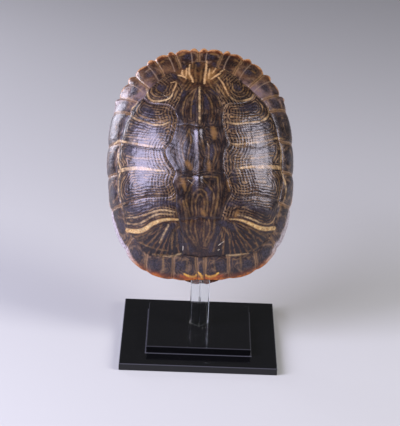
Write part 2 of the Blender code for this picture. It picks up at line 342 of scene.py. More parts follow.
# Strokes: (first half width, last half width, points). Left and right are drawn one by one.
YELLOW = [
    (2.8, 1.2, [(-71, -72.3), (-64, -74), (-58, -74.6), (-52, -73), (-46, -69.6), (-40, -67.5),
                (-34, -66.3), (-28, -66.2), (-21, -66.5)]),
    (2.7, 0.6, [(71, -72.2), (64, -73.7), (58, -73.6), (52, -72), (46, -69.6), (38, -67.2),
                (28, -66.6)]),
    (0.8, 1.1, [(-9, 92), (-9.3, 81), (-7, 75), (-5.5, 70)]),
    (1.0, 0.8, [(-16, 85), (-16, 80), (-13, 75)]),
    (1.3, 0.9, [(-19.5, 79), (-15, 77), (-12, 74)]),
    (0.7, 0.7, [(-11.8, 87), (-12.3, 77)]),
    (0.9, 1.2, [(7.5, 97), (7.2, 86), (6, 76), (5.5, 68)]),
    (0.8, 0.7, [(10.5, 86), (9.5, 74)]),
    (0.8, 0.6, [(17, 87), (13, 80)]),
    (1.2, 0.8, [(21, 80.5), (15.5, 76), (12, 73)]),
    (0.6, 0.8, [(25, 86), (21, 82)]),
    (0.9, 0.7, [(19, 75.5), (23, 69), (26, 61), (29, 54)]),
    (0.7, 0.7, [(-27, 70), (-22, 70.6), (-22.6, 65), (-24.5, 60)]),
    (1.0, 1.5, [(-16.4, -113.6), (-13, -115.4), (-9.5, -116.5), (-6.4, -116.6), (-4.6, -115.4)]),
    (1.5, 1.0, [(4.8, -115.6), (6.6, -116.7), (10, -116.5), (13.4, -115.4), (16.4, -113.4)]),
    (0.9, 1.5, [(-2.5, -113), (0, -115.6), (0.6, -117.8)]),
]
CREAM = [
    (2.3, 0.9, [(-78, -15), (-72, -15.3), (-60, -16), (-50, -18), (-42, -20), (-33, -21.3)]),
    (1.3, 0.8, [(-76.5, -13), (-79, -4), (-79, 4), (-77, 11)]),
    (1.3, 0.8, [(-76.5, -17), (-79, -24), (-79.2, -34), (-77, -44)]),
    (2.3, 0.9, [(79, -14.4), (72, -15), (60, -16.4), (50, -17.5), (42, -19), (35, -20)]),
    (1.1, 0.8, [(78, -12), (79.2, -2), (78, 9)]),
    (1.1, 0.9, [(79, -17), (82, -26), (82.5, -36), (80, -47)]),
    (0.9, 0.8, [(-61, 51), (-66, 44), (-64.5, 37), (-58, 32), (-50, 28), (-43, 25), (-35, 24),
                (-28, 26.5)]),
    (0.9, 0.8, [(67, 46), (67, 38), (63, 31.5), (56, 28), (46, 26), (36, 24), (27, 25.5)]),
    (1.0, 0.6, [(-83, 13.5), (-78, 15), (-70, 11.6), (-60, 8), (-50, 5), (-42, 3), (-34, 2.4)]),
    (1.0, 0.6, [(80, 15), (74, 14), (62, 9), (50, 6), (36, 3.8), (29, 5)]),
    (0.8, 0.8, [(-24, 60), (-28, 52), (-38, 50), (-46, 52), (-49.5, 58), (-51, 66)]),
    (0.9, 0.8, [(29, 54), (34, 49.6), (42, 49), (50, 52.6), (53, 58)]),
    (0.8, 0.8, [(0.9, 63.5), (0.9, 44), (0.9, 24)]),
    (0.8, 0.6, [(-71, -66), (-62, -68), (-54, -66.5), (-46, -63), (-38, -61), (-26, -62)]),
    (0.8, 0.6, [(-70.5, -61), (-60, -62), (-50, -60), (-42, -58), (-34, -57.6), (-24, -59.6)]),
    (0.6, 0.6, [(73, -61), (68, -68), (60, -69.5), (51, -66.5), (42, -64), (36, -63)]),
    (0.8, 0.5, [(-30, -71), (-34, -78), (-39, -86)]),
    (0.9, 0.9, [(-46.5, -96.6), (-38, -97.6), (-28, -98.6), (-19, -96.8)]),
    (0.9, 1.0, [(25, -98.6), (36, -98), (45.5, -96.6)]),
]
TAN = [
    (0.6, 0.4, [(-36, -70), (-40, -77), (-47, -85.5)]),
    (0.6, 0.4, [(-41, -70), (-46, -76), (-52, -80), (-61, -82)]),
    (0.7, 0.6, [(-20, -73), (-25, -77), (-27, -84), (-27.4, -92)]),
    (0.6, 0.4, [(32, -70), (36, -78), (42, -86), (45, -92)]),
    (0.6, 0.4, [(38, -70), (46, -76), (52, -84), (54.5, -90)]),
    (0.6, 0.4, [(45, -71.5), (54, -77), (63, -81.5)]),
    (0.6, 0.5, [(22, -74), (27, -80), (28.5, -91)]),
    (0.9, 0.8, [(-15.6, -50), (-14.4, -55), (-13, -60), (-12.6, -65), (-13.2, -72), (-12, -79),
                (-7.5, -85), (-4, -90)]),
    (0.8, 0.8, [(17.4, -29), (18, -40), (17, -50), (15.4, -58), (14, -65), (13.6, -72), (13, -78),
                (9, -84), (5, -90)]),
    (0.7, 0.5, [(-18.2, -29), (-12, -28.8), (-6, -29.2)]),
    (0.5, 0.7, [(2.5, -28), (10, -27.8), (17.4, -28.6)]),
    (0.6, 0.5, [(-8, -66.8), (-9.2, -73), (-8.4, -79), (-4.6, -86), (-2.4, -92)]),
    (0.5, 0.4, [(-4, -67), (-4.8, -73), (-3.6, -81), (-1.4, -90)]),
    (0.6, 0.5, [(8.5, -66.8), (9.4, -72), (8.8, -78), (6, -84), (3, -90)]),
    (0.5, 0.4, [(4.2, -67), (3.6, -75), (2.8, -86)]),
    (0.5, 0.5, [(-17.6, -79), (-14.6, -84), (-12.6, -88), (-11.4, -94)]),
    (0.5, 0.5, [(17, -82), (14.5, -87), (12, -95)]),
    (0.6, 0.6, [(-6.6, -63), (-7.4, -52), (-5, -43), (0.6, -39.6), (6, -43), (7.6, -52), (6.6, -63)]),
    (0.5, 0.5, [(-3, -62), (-3.8, -51), (0.6, -44), (4.6, -51), (3.8, -62)]),
    (0.6, 0.5, [(-4, -31), (-9, -38), (-13, -48), (-11, -57), (-9.6, -64)]),
    (0.6, 0.5, [(3.6, -30.5), (9, -36.5), (13.4, -44), (12.6, -54), (10.4, -64)]),
    (0.7, 0.6, [(-8.4, 19), (-12.6, 10), (-16, 2), (-15, -8), (-11.6, -17)]),
    (0.6, 0.5, [(-9, 16), (-7.2, 7), (-9.6, -4), (-11, -12)]),
    (0.9, 0.5, [(1.8, 11), (3.8, 3), (5.6, -6)]),
    (0.5, 0.4, [(8, 6), (9.6, -4), (8, -16)]),
    (0.5, 0.4, [(14, 4), (15.6, -6), (12, -18)]),
    (0.5, 0.5, [(-2.4, 62.5), (-8, 57), (-13, 49), (-15.4, 38), (-14, 27)]),
    (0.5, 0.4, [(-2, 61), (-5, 54), (-7, 44), (-7.4, 30)]),
    (0.6, 0.5, [(3, 62), (8, 55), (12, 46), (13.4, 36), (12, 26)]),
    (0.5, 0.4, [(5.4, 62.6), (13, 58), (19, 51), (20.6, 42)]),
    (0.5, 0.5, [(-12, 73), (-16, 66), (-21, 59), (-24, 50)]),
    (0.5, 0.5, [(-9, 72), (-12, 66), (-16, 60), (-19, 52)]),
    (0.5, 0.5, [(-6, 70), (-9, 65), (-12, 60)]),
    (0.5, 0.5, [(9, 71), (12, 65), (16, 59)]),
    (0.5, 0.5, [(14, 72), (19, 65), (24, 56), (28, 50)]),
    (0.7, 0.6, [(-3, 92), (-3.4, 80), (-2, 70)]),
    (0.7, 0.6, [(2.6, 90), (2.4, 80), (1.6, 70)]),
    (0.7, 0.6, [(-22, 84), (-19, 76), (-15, 70)]),
    (0.7, 0.6, [(-6, 96), (-6.4, 84)]),
    (0.7, 0.6, [(13.6, 88), (11.6, 79), (10, 70)]),
    (0.7, 0.6, [(24, 80), (19, 73), (15, 68)]),
    (0.45, 0.45, [(-23, 68), (-27, 58), (-34, 54.6), (-41, 55.4), (-45.4, 60), (-46, 68)]),
    (0.45, 0.45, [(27, 75), (28, 66), (32, 57), (39, 53.6), (46, 56.6), (48.4, 64)]),
    (0.45, 0.45, [(-30, 66), (-32, 60), (-37, 58.6), (-41, 62), (-40.6, 68)]),
    (0.45, 0.45, [(32.6, 69), (33.4, 61), (38, 58.4), (42.6, 61), (43, 68)]),
    (0.6, 0.6, [(-55, 52), (-60, 44), (-58, 38), (-50, 33), (-40, 30), (-30, 32)]),
    (0.6, 0.6, [(56, 52), (61, 45), (60, 37), (52, 33), (42, 31), (31, 31)]),
    (0.6, 0.5, [(-73, 18), (-62, 14.6), (-50, 11.6), (-38, 10), (-30, 9)]),
    (0.6, 0.5, [(72, 19), (60, 14), (48, 11), (36, 9.6), (29, 10)]),
    (0.8, 0.6, [(-71, -9), (-74.6, -1), (-75, 8)]),
    (0.8, 0.6, [(-70, -20.6), (-75, -27), (-75.6, -38), (-73, -44)]),
    (0.8, 0.6, [(71, -9), (74, -1), (74.6, 7)]),
    (0.8, 0.6, [(71, -20.6), (76, -27), (77, -38), (74.6, -46)]),
    (0.7, 0.6, [(-70, -2), (-60, -6), (-46, -8.4), (-34, -10)]),
    (0.7, 0.6, [(70, -4), (58, -7.6), (46, -9.6), (34, -11)]),
    (0.8, 0.6, [(-76, -49), (-74.6, -58), (-72.6, -66)]),
    (0.9, 0.7, [(78, -49), (76, -58), (73.6, -67)]),
    (0.6, 0.5, [(-71, -77), (-60, -79), (-52, -77), (-45, -73)]),
    (0.5, 0.5, [(-60, -84), (-50, -88.6), (-40, -92), (-32, -93.6)]),
    (0.5, 0.5, [(64, -85), (55, -91), (44, -95)]),
    (0.6, 0.5, [(-22, -79), (-23, -90)]),
    (0.6, 0.5, [(20, -78), (22, -87), (21, -93)]),
    (0.6, 0.5, [(71, -77), (62, -78.4), (54, -75.6)]),
    (0.8, 0.5, [(-36, -99.5), (-36.6, -112)]),
    (0.8, 0.5, [(38, -99.5), (38.6, -112)]),
    (0.5, 0.5, [(-12.6, -101), (-14, -111)]),
    (0.5, 0.5, [(12, -101), (13.6, -111)]),
    (0.5, 0.4, [(-6, -101), (-4.4, -110)]),
    (0.5, 0.4, [(6, -101), (4.4, -110)]),
]
# Orange-tan patches. Those at the neck edge are made bright orange as a painted glow of light through
# the thin horn.
GLOW = [
    (4.0, 3.0, [(-13, 82), (-8, 74)]),
    (4.0, 3.0, [(13, 81), (8, 73)]),
    (2.4, 2.0, [(24, 66), (28, 56)]),
    (1.9, 1.5, [(33.6, -64), (36, -59)]),
    (1.6, 1.0, [(27.5, -31), (28.4, -41)]),
    (2.8, 2.6, [(14, 18.6), (14.6, 10)]),
    (2.4, 1.8, [(-11, -15), (-8, -20)]),
    (1.6, 1.4, [(9, -13), (9.6, -22)]),
    (2.0, 2.2, [(1.6, -58), (4.6, -63)]),
    (2.6, 1.0, [(-15.6, -31.4), (-13.6, -40)]),
    (1.6, 2.6, [(-19.5, -115.8), (-15, -116.8), (-10, -118), (-5, -118.4)]),
    (2.6, 1.6, [(5, -118.4), (10, -118), (15, -116.8), (19.5, -115.6)]),
    (1.8, 2.2, [(-50, -112), (-40, -115)]),
    (1.8, 1.8, [(-19, 105), (-15, 106)]),
    (1.8, 1.8, [(12, 106), (17, 105)]),
    (1.4, 1.4, [(-37, 97.6), (-35, 98.6)]),
    (1.4, 1.4, [(35, 98.6), (38, 97.4)]),
    (1.5, 1.5, [(52, 86), (54, 84)]),
]
DARK = [
    (4.0, 4.6, [(-68, 3.4), (-56, -2)]), (2.0, 3.2, [(71, 3), (56, -1), (42, -3)]),
    (4.5, 4.6, [(-52, 42), (-46, 37)]), (3.0, 4.2, [(41, 40), (48, 42), (54, 44)]),
    (3.4, 3.6, [(-38, 66), (-33, 62)]), (3.0, 3.0, [(36, 65), (39, 62)]),
    (2.0, 2.6, [(-71, -53.6), (-56, -55), (-42, -52), (-31, -51), (-22, -54)]),
    (2.2, 2.6, [(70, -59), (60, -56.6), (50, -54), (40, -52), (28, -53)]),
    (1.4, 1.6, [(-64, 24.4), (-50, 23.6)]), (1.6, 1.8, [(-47, 20), (-34, 18.6)]),
    (1.8, 1.8, [(66, 26.6), (58, 23), (49, 20)]), (1.4, 1.6, [(45, 19), (30, 21)]),
    (2.2, 1.6, [(-26, -71), (-36, -82)]), (2.6, 2.2, [(20, -70), (34, -74)]),
    (1.6, 1.4, [(-20, -76), (-18, -92)]), (1.8, 1.4, [(17, -74), (15, -86)]),
    (1.6, 1.2, [(7, 54), (8, 40)]), (1.4, 1.2, [(-5, 48), (-5, 36)]),
    (1.8, 1.2, [(-13, 5), (-13, -6)]), (1.8, 1.2, [(-6, 2), (-6, -10)]),
    (1.6, 1.4, [(13, 2), (12, -10)]), (2.0, 1.4, [(-4.6, -34), (-5, -42)]),
    (2.0, 1.4, [(7, -38), (9.6, -48)]), (2.0, 1.4, [(-13, -88), (-8, -95)]),
    (2.0, 1.4, [(12, -88), (9, -95)]), (1.6, 1.4, [(33, -22), (34, -32)]),
    (1.8, 1.6, [(-1, 94), (-1, 90)]), (1.6, 1.4, [(-25, 80), (-23, 76)]),
    (1.4, 1.2, [(-15, 91), (-14, 88)]), (1.6, 1.4, [(15, 93), (16, 89)]),
    (1.8, 1.8, [(-14, 58), (-16, 55)]), (1.8, 1.8, [(13, 59), (17, 56)]),
]
SCRATCHES = [
    (0.35, 0.25, [(17, -90), (23, -86)]),
    (0.5, 0.5, [(16.8, -94), (17.8, -93.6)]),
    (0.4, 0.3, [(-16.6, -90), (-17, -94)]),
    (0.25, 0.15, [(-12, -30), (-4, -36)]),
    (0.22, 0.15, [(8, 4), (13, -6)]),
    (0.22, 0.15, [(-28, 52), (-37, 58)]),
]
COSTAL_CENTRES = [(-46, -70), (46, -70), (-58, -4), (58, -4), (-48, 38), (48, 38), (-37, 64),
                  (37, 64)]
VERTEBRAL_CENTRES = [(0, -82), (0, -46), (0, -2), (0, 42), (0, 80)]
FAN_HUBS = [(-24, -66), (25, -66)]
FAN_FRONT = [(21, -66.5), (32, -66.5), (40, -67.5), (46, -70), (53, -73.3), (59, -75.5), (71, -73),
             (90, -70)]
KEEL_KNOBS = [(-29.5, 1.5), (17.5, 1.4), (60.0, 1.2)]


def tree_of(points):
    """A tree that finds the nearest of some points."""
    tree = kdtree.KDTree(len(points))
    for index, point in enumerate(points):
        tree.insert(point, index)
    tree.balance()
    return tree


class Lines:
    """A set of wide lines on the dome, with the distance of any point from them."""

    def __init__(self, strokes, spacing=0.5):
        solid, widths = [], []
        for first, last, points in strokes:
            line = curve_through(points, spacing)
            solid.append(dome_points(line))
            ramp = np.linspace(0, 1, len(line))
            taper = 0.55 + 0.45 * np.sin(np.pi * np.clip(ramp, 0.06, 0.94)) ** 0.5
            widths.append((first + (last - first) * ramp) * taper)
        self.points = np.vstack(solid)
        self.widths = np.concatenate(widths)
        self.tree = tree_of(self.points)

    def outside(self, points):
        """Distance from each point to the edge of the nearest stroke: below 0 on it."""
        found = [self.tree.find(point) for point in points]
        return np.array([item[2] - self.widths[item[1]] for item in found])


# ------------------------------------------------------------------ the back's mesh


def rim_places():
    """Places along the edge at even steps, in order round the shell."""
    fine = np.linspace(-math.pi, math.pi, 7201)
    radius = np.interp(fine, FLAT.angles, FLAT.rim)
    line = np.column_stack([np.cos(fine) * radius, np.sin(fine) * radius])
    length = np.concatenate([[0], np.cumsum(np.linalg.norm(np.diff(line, axis=0), axis=1))])
    count = int(length[-1] / RIM_SPACING / 4) * 4
    marks = np.linspace(0, length[-1], count + 1)[:-1]
    return np.column_stack([np.interp(marks, length, line[:, 0]),
                            np.interp(marks, length, line[:, 1])])


def hex_fill(spacing, low, high):
    """A triangular lattice of points over a rectangle."""
    rows = np.arange(low[1], high[1], spacing * math.sqrt(0.75))
    columns = np.arange(low[0], high[0], spacing)
    return np.array([(x + (index % 2) * spacing / 2, y)
                     for index, y in enumerate(rows) for x in columns])


class Cells:
    """Points of the plane in square cells, to tell whether a place has one within a gap."""

    def __init__(self, gap, points=()):
        self.gap = gap
        self.cells = {}
        for point in points:
            self.add(point)

    def cell(self, point):
        """The cell that a point is in."""
        return int(point[0] // self.gap), int(point[1] // self.gap)

    def add(self, point):
        """Adds one point."""
        self.cells.setdefault(self.cell(point), []).append(point)

    def taken(self, point):
        """Whether an added point is nearer than the gap."""
        column, row = self.cell(point)
        return any((other[0] - point[0]) ** 2 + (other[1] - point[1]) ** 2 < self.gap ** 2
                   for i in (column - 1, column, column + 1)
                   for j in (row - 1, row, row + 1)
                   for other in self.cells.get((i, j), ()))


def thin_out(points, gap):
    """Numbers of the points that are not closer than gap to one already kept, in order."""
    cells, kept = Cells(gap), []
    for number, point in enumerate(points):
        if not cells.taken(point):
            cells.add(point)
            kept.append(number)
    return np.array(kept, int)


def triangulate(flat, border_count):
    """Triangles over flat points whose first border_count are the outline in order."""
    border = [(index, (index + 1) % border_count) for index in range(border_count)]
    points = [Vector((float(x), float(y))) for x, y in flat]
    _, _, faces, origin, _, _ = delaunay_2d_cdt(points, border, [], 1, 1e-7, True)
    back = [ids[0] for ids in origin]
    triangles = np.array([[back[i] for i in face] for face in faces if len(face) == 3], int)
    a, b, c = flat[triangles[:, 0]], flat[triangles[:, 1]], flat[triangles[:, 2]]
    turned = (b - a)[:, 0] * (c - a)[:, 1] - (b - a)[:, 1] * (c - a)[:, 0] < 0
    triangles[turned] = triangles[turned][:, ::-1]
    return triangles


def hump(t, low, high, power):
    """A rounded hump between low and high, 1 at its middle."""
    share = np.clip((t - low) / (high - low), 0, 1)
    return np.clip(np.sin(np.pi * share), 0, 1) ** power


def scallop(places):
    """How far the edge stands out at each place: teeth and notches of the tail marginals."""
    angle = np.arctan2(places[:, 1], -np.abs(places[:, 0]))
    angle = np.where(angle < 0, angle + 2 * math.pi, angle)
    ends = []
    for (x, s), _ in MARGINAL_SEAMS:
        turn = math.atan2(s, x)
        ends.append(turn if turn >= 0 else turn + 2 * math.pi)
    ends[-1] = math.pi / 2
    out = np.zeros(len(places))
    for number in range(len(ends) - 1):
        first, last = ends[number], ends[number + 1]
        t = (angle - first) / (last - first)
        within = (t >= 0) & (t <= 1)
        seam = np.minimum(t, 1 - t)
        if number >= FIRST_SCALLOPED:
            broad, tooth = hump(t, 0, TOOTH_START, 0.7), hump(t, TOOTH_START, 1, 1.1)
            shape = 1.9 * broad + 2.7 * tooth - 0.8
        elif number == FIRST_SCALLOPED - 1:
            shape = 0.35 * np.sin(np.pi * t) + 1.7 * hump(t, 0.6, 1, 0.75)
        else:
            width = 0.10 if number else 0.3
            shape = 0.30 * np.sin(np.pi * np.clip(t, 0, 1)) - 0.45 * np.exp(-(seam / width) ** 2)
        out = np.where(within, shape, out)
    return out


def outward(places):
    """The level direction straight out of the outline nearest each place."""
    share, _ = dome_share(places[:, 0], places[:, 1])
    step = 0.2
    push_x = dome_share(places[:, 0] + step, places[:, 1])[0] - share
    push_s = dome_share(places[:, 0], places[:, 1] + step)[0] - share
    direction = np.column_stack([push_x, push_s, np.zeros(len(places))])
    return direction / np.maximum(np.linalg.norm(direction, axis=1), 1e-9)[:, None]


def edge_scallops(points, places, rim_distance):
    """Moves points near the edge out and in with the marginals' teeth."""
    hold = np.exp(-(rim_distance / 3.6) ** 1.4)
    angle = np.arctan2(places[:, 1], places[:, 0])
    radius = np.interp(angle, FLAT.angles, FLAT.rim)
    rim = np.column_stack([np.cos(angle) * radius, np.sin(angle) * radius])
    return points + outward(rim) * (scallop(rim) * hold)[:, None]


def flood_labels(triangles, count, walls, seeds):
    """A label for each vertex: the seed it can be reached from without crossing a wall vertex."""
    neighbours = [[] for _ in range(count)]
    for a, b, c in triangles.tolist():
        neighbours[a] += (b, c)
        neighbours[b] += (a, c)
        neighbours[c] += (a, b)
    labels = [-1] * count
    for label, seed in enumerate(seeds):
        if labels[seed] >= 0:
            continue
        labels[seed] = label
        queue = [seed]
        while queue:
            here = queue.pop()
            for other in neighbours[here]:
                if labels[other] < 0 and not walls[other]:
                    labels[other] = label
                    queue.append(other)
    for _ in range(4):
        for index in range(count):
            if labels[index] < 0:
                found = [labels[other] for other in neighbours[index] if labels[other] >= 0]
                if found:
                    labels[index] = max(set(found), key=found.count)
    return np.array(labels)


def marginal_centres():
    """The middle of each marginal, left then right, with the nuchal last."""
    centres = []
    for first, second in zip(MARGINAL_SEAMS[:-1], MARGINAL_SEAMS[1:]):
        corners = np.array(first + second, float)
        centre = corners.mean(0)
        share = dome_share(centre[:1], centre[1:])[0][0]
        centres.append(tuple(centre * min(1.0, 0.955 / share)))
    return centres + [(-x, s) for x, s in centres] + [(0.0, -111.0)]


def seam_rows(seams):
    """Places on the seams, and in rows beside them that shape their grooves."""
    rows = [line for _, line in seams]
    for offset in SEAM_SIDES:
        for _, line in seams:
            if len(line) >= 4:
                slope = np.gradient(line, axis=0)
                side = np.column_stack([-slope[:, 1], slope[:, 0]])
                side /= np.maximum(np.linalg.norm(side, axis=1), 1e-9)[:, None]
                rows.append(line + side * offset)
    return np.vstack(rows)


def top_plan(seams, rim):
    """Places of the back's mesh with the rim first, and its triangles."""
    rim_flat = FLAT.flatten(rim * JUST_INSIDE)
    flat = FLAT.flatten(seam_rows(seams))
    ordered = np.vstack([rim_flat, flat[FLAT.edge_share(flat) < SEAM_LIMIT]])
    kept = thin_out(ordered, CLOSEST)
    placed = np.vstack([rim_flat, ordered[kept[kept >= len(rim)]]])
    fill = hex_fill(TOP_SPACING, rim_flat.min(0), rim_flat.max(0))
    fill = fill[FLAT.edge_share(fill) < FILL_LIMIT]
    taken = Cells(TOP_SPACING * 0.68, placed)
    flat = np.vstack([placed, [point for point in fill if not taken.taken(point)]])
    places = FLAT.raise_up(flat)
    places[:len(rim)] = rim
    return places, triangulate(flat, len(rim))


def make_top():
    """Places, points, triangles and pattern fields of the back, and how many are on its rim."""
    seams = seam_lines()
    rim = rim_places()
    places, triangles = top_plan(seams, rim)
    points = dome_points(places)
    fields = pattern_fields(places, points, triangles, seams, len(rim))
    normals = dome_normals(places)
    lifted = points + normals * relief(places, fields)[:, None]
    teeth = scallop(places) * np.exp(-(fields["rim"] / 7.0) ** 2) * smooth_step(35, 60, places[:, 1])
    lifted += normals * (0.09 * teeth)[:, None]
    lifted = edge_scallops(lifted, places, fields["rim"])
    return places, lifted, triangles, fields, len(rim)


def pattern_fields(places, points, triangles, seams, rim_count):
    """Distances and scute kinds that both the relief and the colours are drawn from."""
    fields = {}
    for kind in ("side", "edge", "cross", "marginal"):
        strokes = [(0, 0, [tuple(place) for place in line[::6]] + [tuple(line[-1])])
                   for name, line in seams if name == kind]
        fields[kind] = Lines(strokes, 0.3).outside(points)
    fields["seam"] = np.minimum.reduce([fields[k] for k in ("side", "edge", "cross", "marginal")])
    rim_tree = tree_of(points[:rim_count])
    fields["rim"] = np.array([rim_tree.find(point)[2] for point in points])
    drawn = {"yellow": YELLOW, "cream": CREAM, "tan": TAN, "glow": GLOW, "dark": DARK,
             "notch": notch_lines()}
    for name, strokes in drawn.items():
        fields[name] = Lines(strokes).outside(points)
    fields["scratch"] = Lines(SCRATCHES, 0.25).outside(points)

    marginals = marginal_centres()
    centres = np.array(list(VERTEBRAL_CENTRES) + list(COSTAL_CENTRES) + marginals, float)
    seeds = [int(np.argmin(((places - centre) ** 2).sum(1))) for centre in centres]
    labels = flood_labels(triangles, len(points), fields["seam"] < WALL_REACH, seeds)
    first_costal = len(VERTEBRAL_CENTRES)
    first_marginal = first_costal + len(COSTAL_CENTRES)
    fields["vertebral"] = ((labels >= 0) & (labels < first_costal)).astype(float)
    fields["costal"] = ((labels >= first_costal) & (labels < first_marginal)).astype(float)
    fields["marginal_scute"] = (labels >= first_marginal).astype(float)
    fields["blotch"] = blotch_points(points, centres[first_marginal:], labels - first_marginal)
    hub_distance, fields["fan"] = fan_fields(places)
    in_first = (labels == first_costal) | (labels == first_costal + 1)
    front = smooth_step(-1.0, 3.0, fan_front(places))
    fields["fan_share"] = in_first * front * smooth_step(3.0, 9.0, hub_distance)
    fields["contour"] = contour_field(places, fields)
    return fields


def smooth_minimum(first, second, width):
    """The smaller of two values, with the change between them rounded over a width."""
    share = np.clip(0.5 + 0.5 * (second - first) / width, 0, 1)
    return second + (first - second) * share - width * share * (1 - share)


def contour_field(places, fields):
    """Distance from the seams and strokes that the thin lines of each scute follow."""
    strokes = np.minimum.reduce([fields["yellow"] + 1.6, fields["cream"] + 1.3,
                                 fields["tan"] + 1.0])
    costal = smooth_minimum(np.minimum(fields["edge"], fields["cross"]), strokes, 3.0)
    vertebral = smooth_minimum(fields["side"] + 2.0, strokes, 2.0)
    marginal = smooth_minimum(fields["marginal"], fields["rim"] * 0.8 + 1.0, 5.0)
    marginal = smooth_minimum(marginal, fields["edge"] * 0.8 + 1.0, 5.0)
    marginal += wander(places, 1.3, 8.0, 7)
    picked = (costal * fields["costal"] + vertebral * fields["vertebral"]
              + marginal * fields["marginal_scute"])
    return picked + wander(places, 0.55, 17.0, 3) + wander(places, 0.22, 5.5, 4)


def fan_front(places):
    """How far a place lies on the neck side of the first costals' yellow band."""
    line = np.array(FAN_FRONT, float)
    return np.interp(np.abs(places[:, 0]), line[:, 0], line[:, 1]) - places[:, 1]


def fan_fields(places):
    """Distance and angle from the nearer fan hub."""
    hub = np.where((places[:, 0] < 0)[:, None], np.array(FAN_HUBS[0]), np.array(FAN_HUBS[1]))
    step = places - hub
    return np.hypot(step[:, 0], step[:, 1]), np.arctan2(-step[:, 1], np.abs(step[:, 0]))


def notch_lines():
    """Pale lines from the middle notch of each tail marginal inwards."""
    strokes = []
    for first, second in zip(MARGINAL_SEAMS[FIRST_SCALLOPED:-1], MARGINAL_SEAMS[FIRST_SCALLOPED + 1:]):
        a, b = np.array(first, float), np.array(second, float)
        ends = a + (b - a) * MIDDLE_NOTCH
        line = [tuple(ends[0]), tuple(ends[0] * 0.5 + ends[1] * 0.5 + (0.5, 0.4)), tuple(ends[1])]
        strokes += [(0.5, 0.35, line), (0.5, 0.35, mirrored(line))]
    return strokes


def blotch_points(points, centres, labels):
    """Distance from the middle of each marginal's dark blotch."""
    held = np.clip(labels, 0, len(centres) - 1)
    middle = centres.copy()
    right = len(MARGINAL_SEAMS) - 1
    for number, (x, s) in enumerate(((-20.0, -107.0), (-44.5, -105.5))):
        middle[number] = (x, s)
        middle[right + number] = (-x, s)
    solid = dome_points(middle)
    step = points - solid[held]
    return np.where(labels >= 0, np.linalg.norm(step, axis=1), 99.0)


def relief(places, fields):
    """Height of the fine shape over the plain dome, in millimetres."""
    x, s = places[:, 0], places[:, 1]
    seam = fields["seam"]
    height = -0.34 * np.exp(-(seam / 0.50) ** 2) - 0.14 * np.exp(-(seam / 1.5) ** 2)
    tail = smooth_step(40, 60, s)
    height -= 0.22 * tail * np.exp(-(fields["marginal"] / 0.55) ** 2)
    height += 0.60 * (1 - np.exp(-(seam / 9.0) ** 2)) * fields["costal"]
    height += 0.55 * (1 - np.exp(-(seam / 4.5) ** 2)) * fields["marginal_scute"]
    height -= 0.50 * np.exp(-(fields["edge"] / 5.0) ** 2) * (1 - fields["vertebral"])
    # keel with a knob at the tail end of the second, third and fourth vertebrals
    keel = 0.55 * np.exp(-(x / 2.6) ** 2) * smooth_step(-60, -30, s) * (1 - smooth_step(62, 78, s))
    for knob, size in KEEL_KNOBS:
        behind = np.where(s > knob, 3.0, 11.0)
        keel += size * np.exp(-(x / 3.2) ** 2 - ((s - knob) / behind) ** 2)
    height += keel
    height += 0.35 * np.exp(-((np.abs(x) - 13) / 5.0) ** 2) * fields["vertebral"]
    # growth ridges beside the vertebrals, and contours along the other seams
    drift = wander(places, 0.5, 17.0, 3)
    beside = fields["costal"] * np.exp(-(fields["side"] / 24.0) ** 2)
    beside *= smooth_step(1.2, 3.0, fields["side"]) * (1 - fields["fan_share"])
    height += 0.16 * np.sin(2 * math.pi * (fields["side"] + drift) / RIDGE_PERIOD) * beside
    around = (0.25 + 0.75 * fields["costal"]) * (1 - 0.8 * beside) * (1 - fields["fan_share"])
    height += 0.065 * np.sin(2 * math.pi * fields["contour"] / LINE_PERIOD) * around
    height += 0.15 * np.sin(fields["fan"] * FAN_RAYS + drift * 3.0) * fields["fan_share"]
    height += wander(places, 0.35, 46.0, 5) + wander(places, 0.10, 9.0, 6)
    height -= 0.25 * smooth_step(0.3, -0.2, fields["scratch"])
    return height


# ------------------------------------------------------------------ edge and inside of the back


def make_inside(rim, rim_lifted):
    """Rows of points round the edge, and the points and triangles of the vault."""
    normals = dome_normals(rim)
    run = dome_points(rim) - dome_points(rim * 0.985)
    run /= np.linalg.norm(run, axis=1)[:, None]
    middle = rim_lifted - normals * EDGE_WALL / 2
    rows = []
    for turn in np.linspace(0, math.pi, 7)[1:-1]:
        rows.append(middle + normals * (EDGE_WALL / 2 * math.cos(turn))
                    + run * (EDGE_BULGE * math.sin(turn)))

    rim_flat = FLAT.flatten(rim * JUST_INSIDE)
    loops = [rim_flat * (1 - 1.3 / FLAT_REACH), rim_flat[::2] * (1 - 3.2 / FLAT_REACH)]
    fill = hex_fill(INSIDE_SPACING, rim_flat.min(0), rim_flat.max(0))
    fill = fill[FLAT.edge_share(fill) < 1 - 5.5 / FLAT_REACH]
    flat = np.vstack([rim_flat] + loops + [fill])
    triangles = triangulate(flat, len(rim))
    places = FLAT.raise_up(flat)
    places[:len(rim)] = rim
    wall = np.full(len(places), WALL)
    wall[:len(rim)] = EDGE_WALL
    x, s = places[:, 0], places[:, 1]
    backbone = 1.6 * np.exp(-(x / 4.5) ** 2) * smooth_step(-85, -60, s)
    backbone *= 1 - smooth_step(60, 78, s)
    clear_of_post = 1 - np.exp(-((s + 20) / 45.0) ** 4)
    ribs = 0.6 * np.cos(2 * math.pi * (s + 0.1 * np.abs(x)) / RIB_PERIOD) ** 8
    ribs *= smooth_step(8, 16, np.abs(x)) * (1 - smooth_step(62, 74, np.abs(x)))
    ribs *= 1 - smooth_step(55, 75, np.abs(s))
    wall += (backbone + ribs) * clear_of_post
    points = dome_points(places) - dome_normals(places) * wall[:, None]
    points = edge_scallops(points, places, (1 - FLAT.edge_share(flat)) * 110.0)
    return rows, points, triangles[:, ::-1]


# ------------------------------------------------------------------ plastron and bridges


def read_table(table, place):
    """A value at a place along the shell from a short table of (place, value)."""
    return np.interp(place, [row[0] for row in table], [row[1] for row in table])


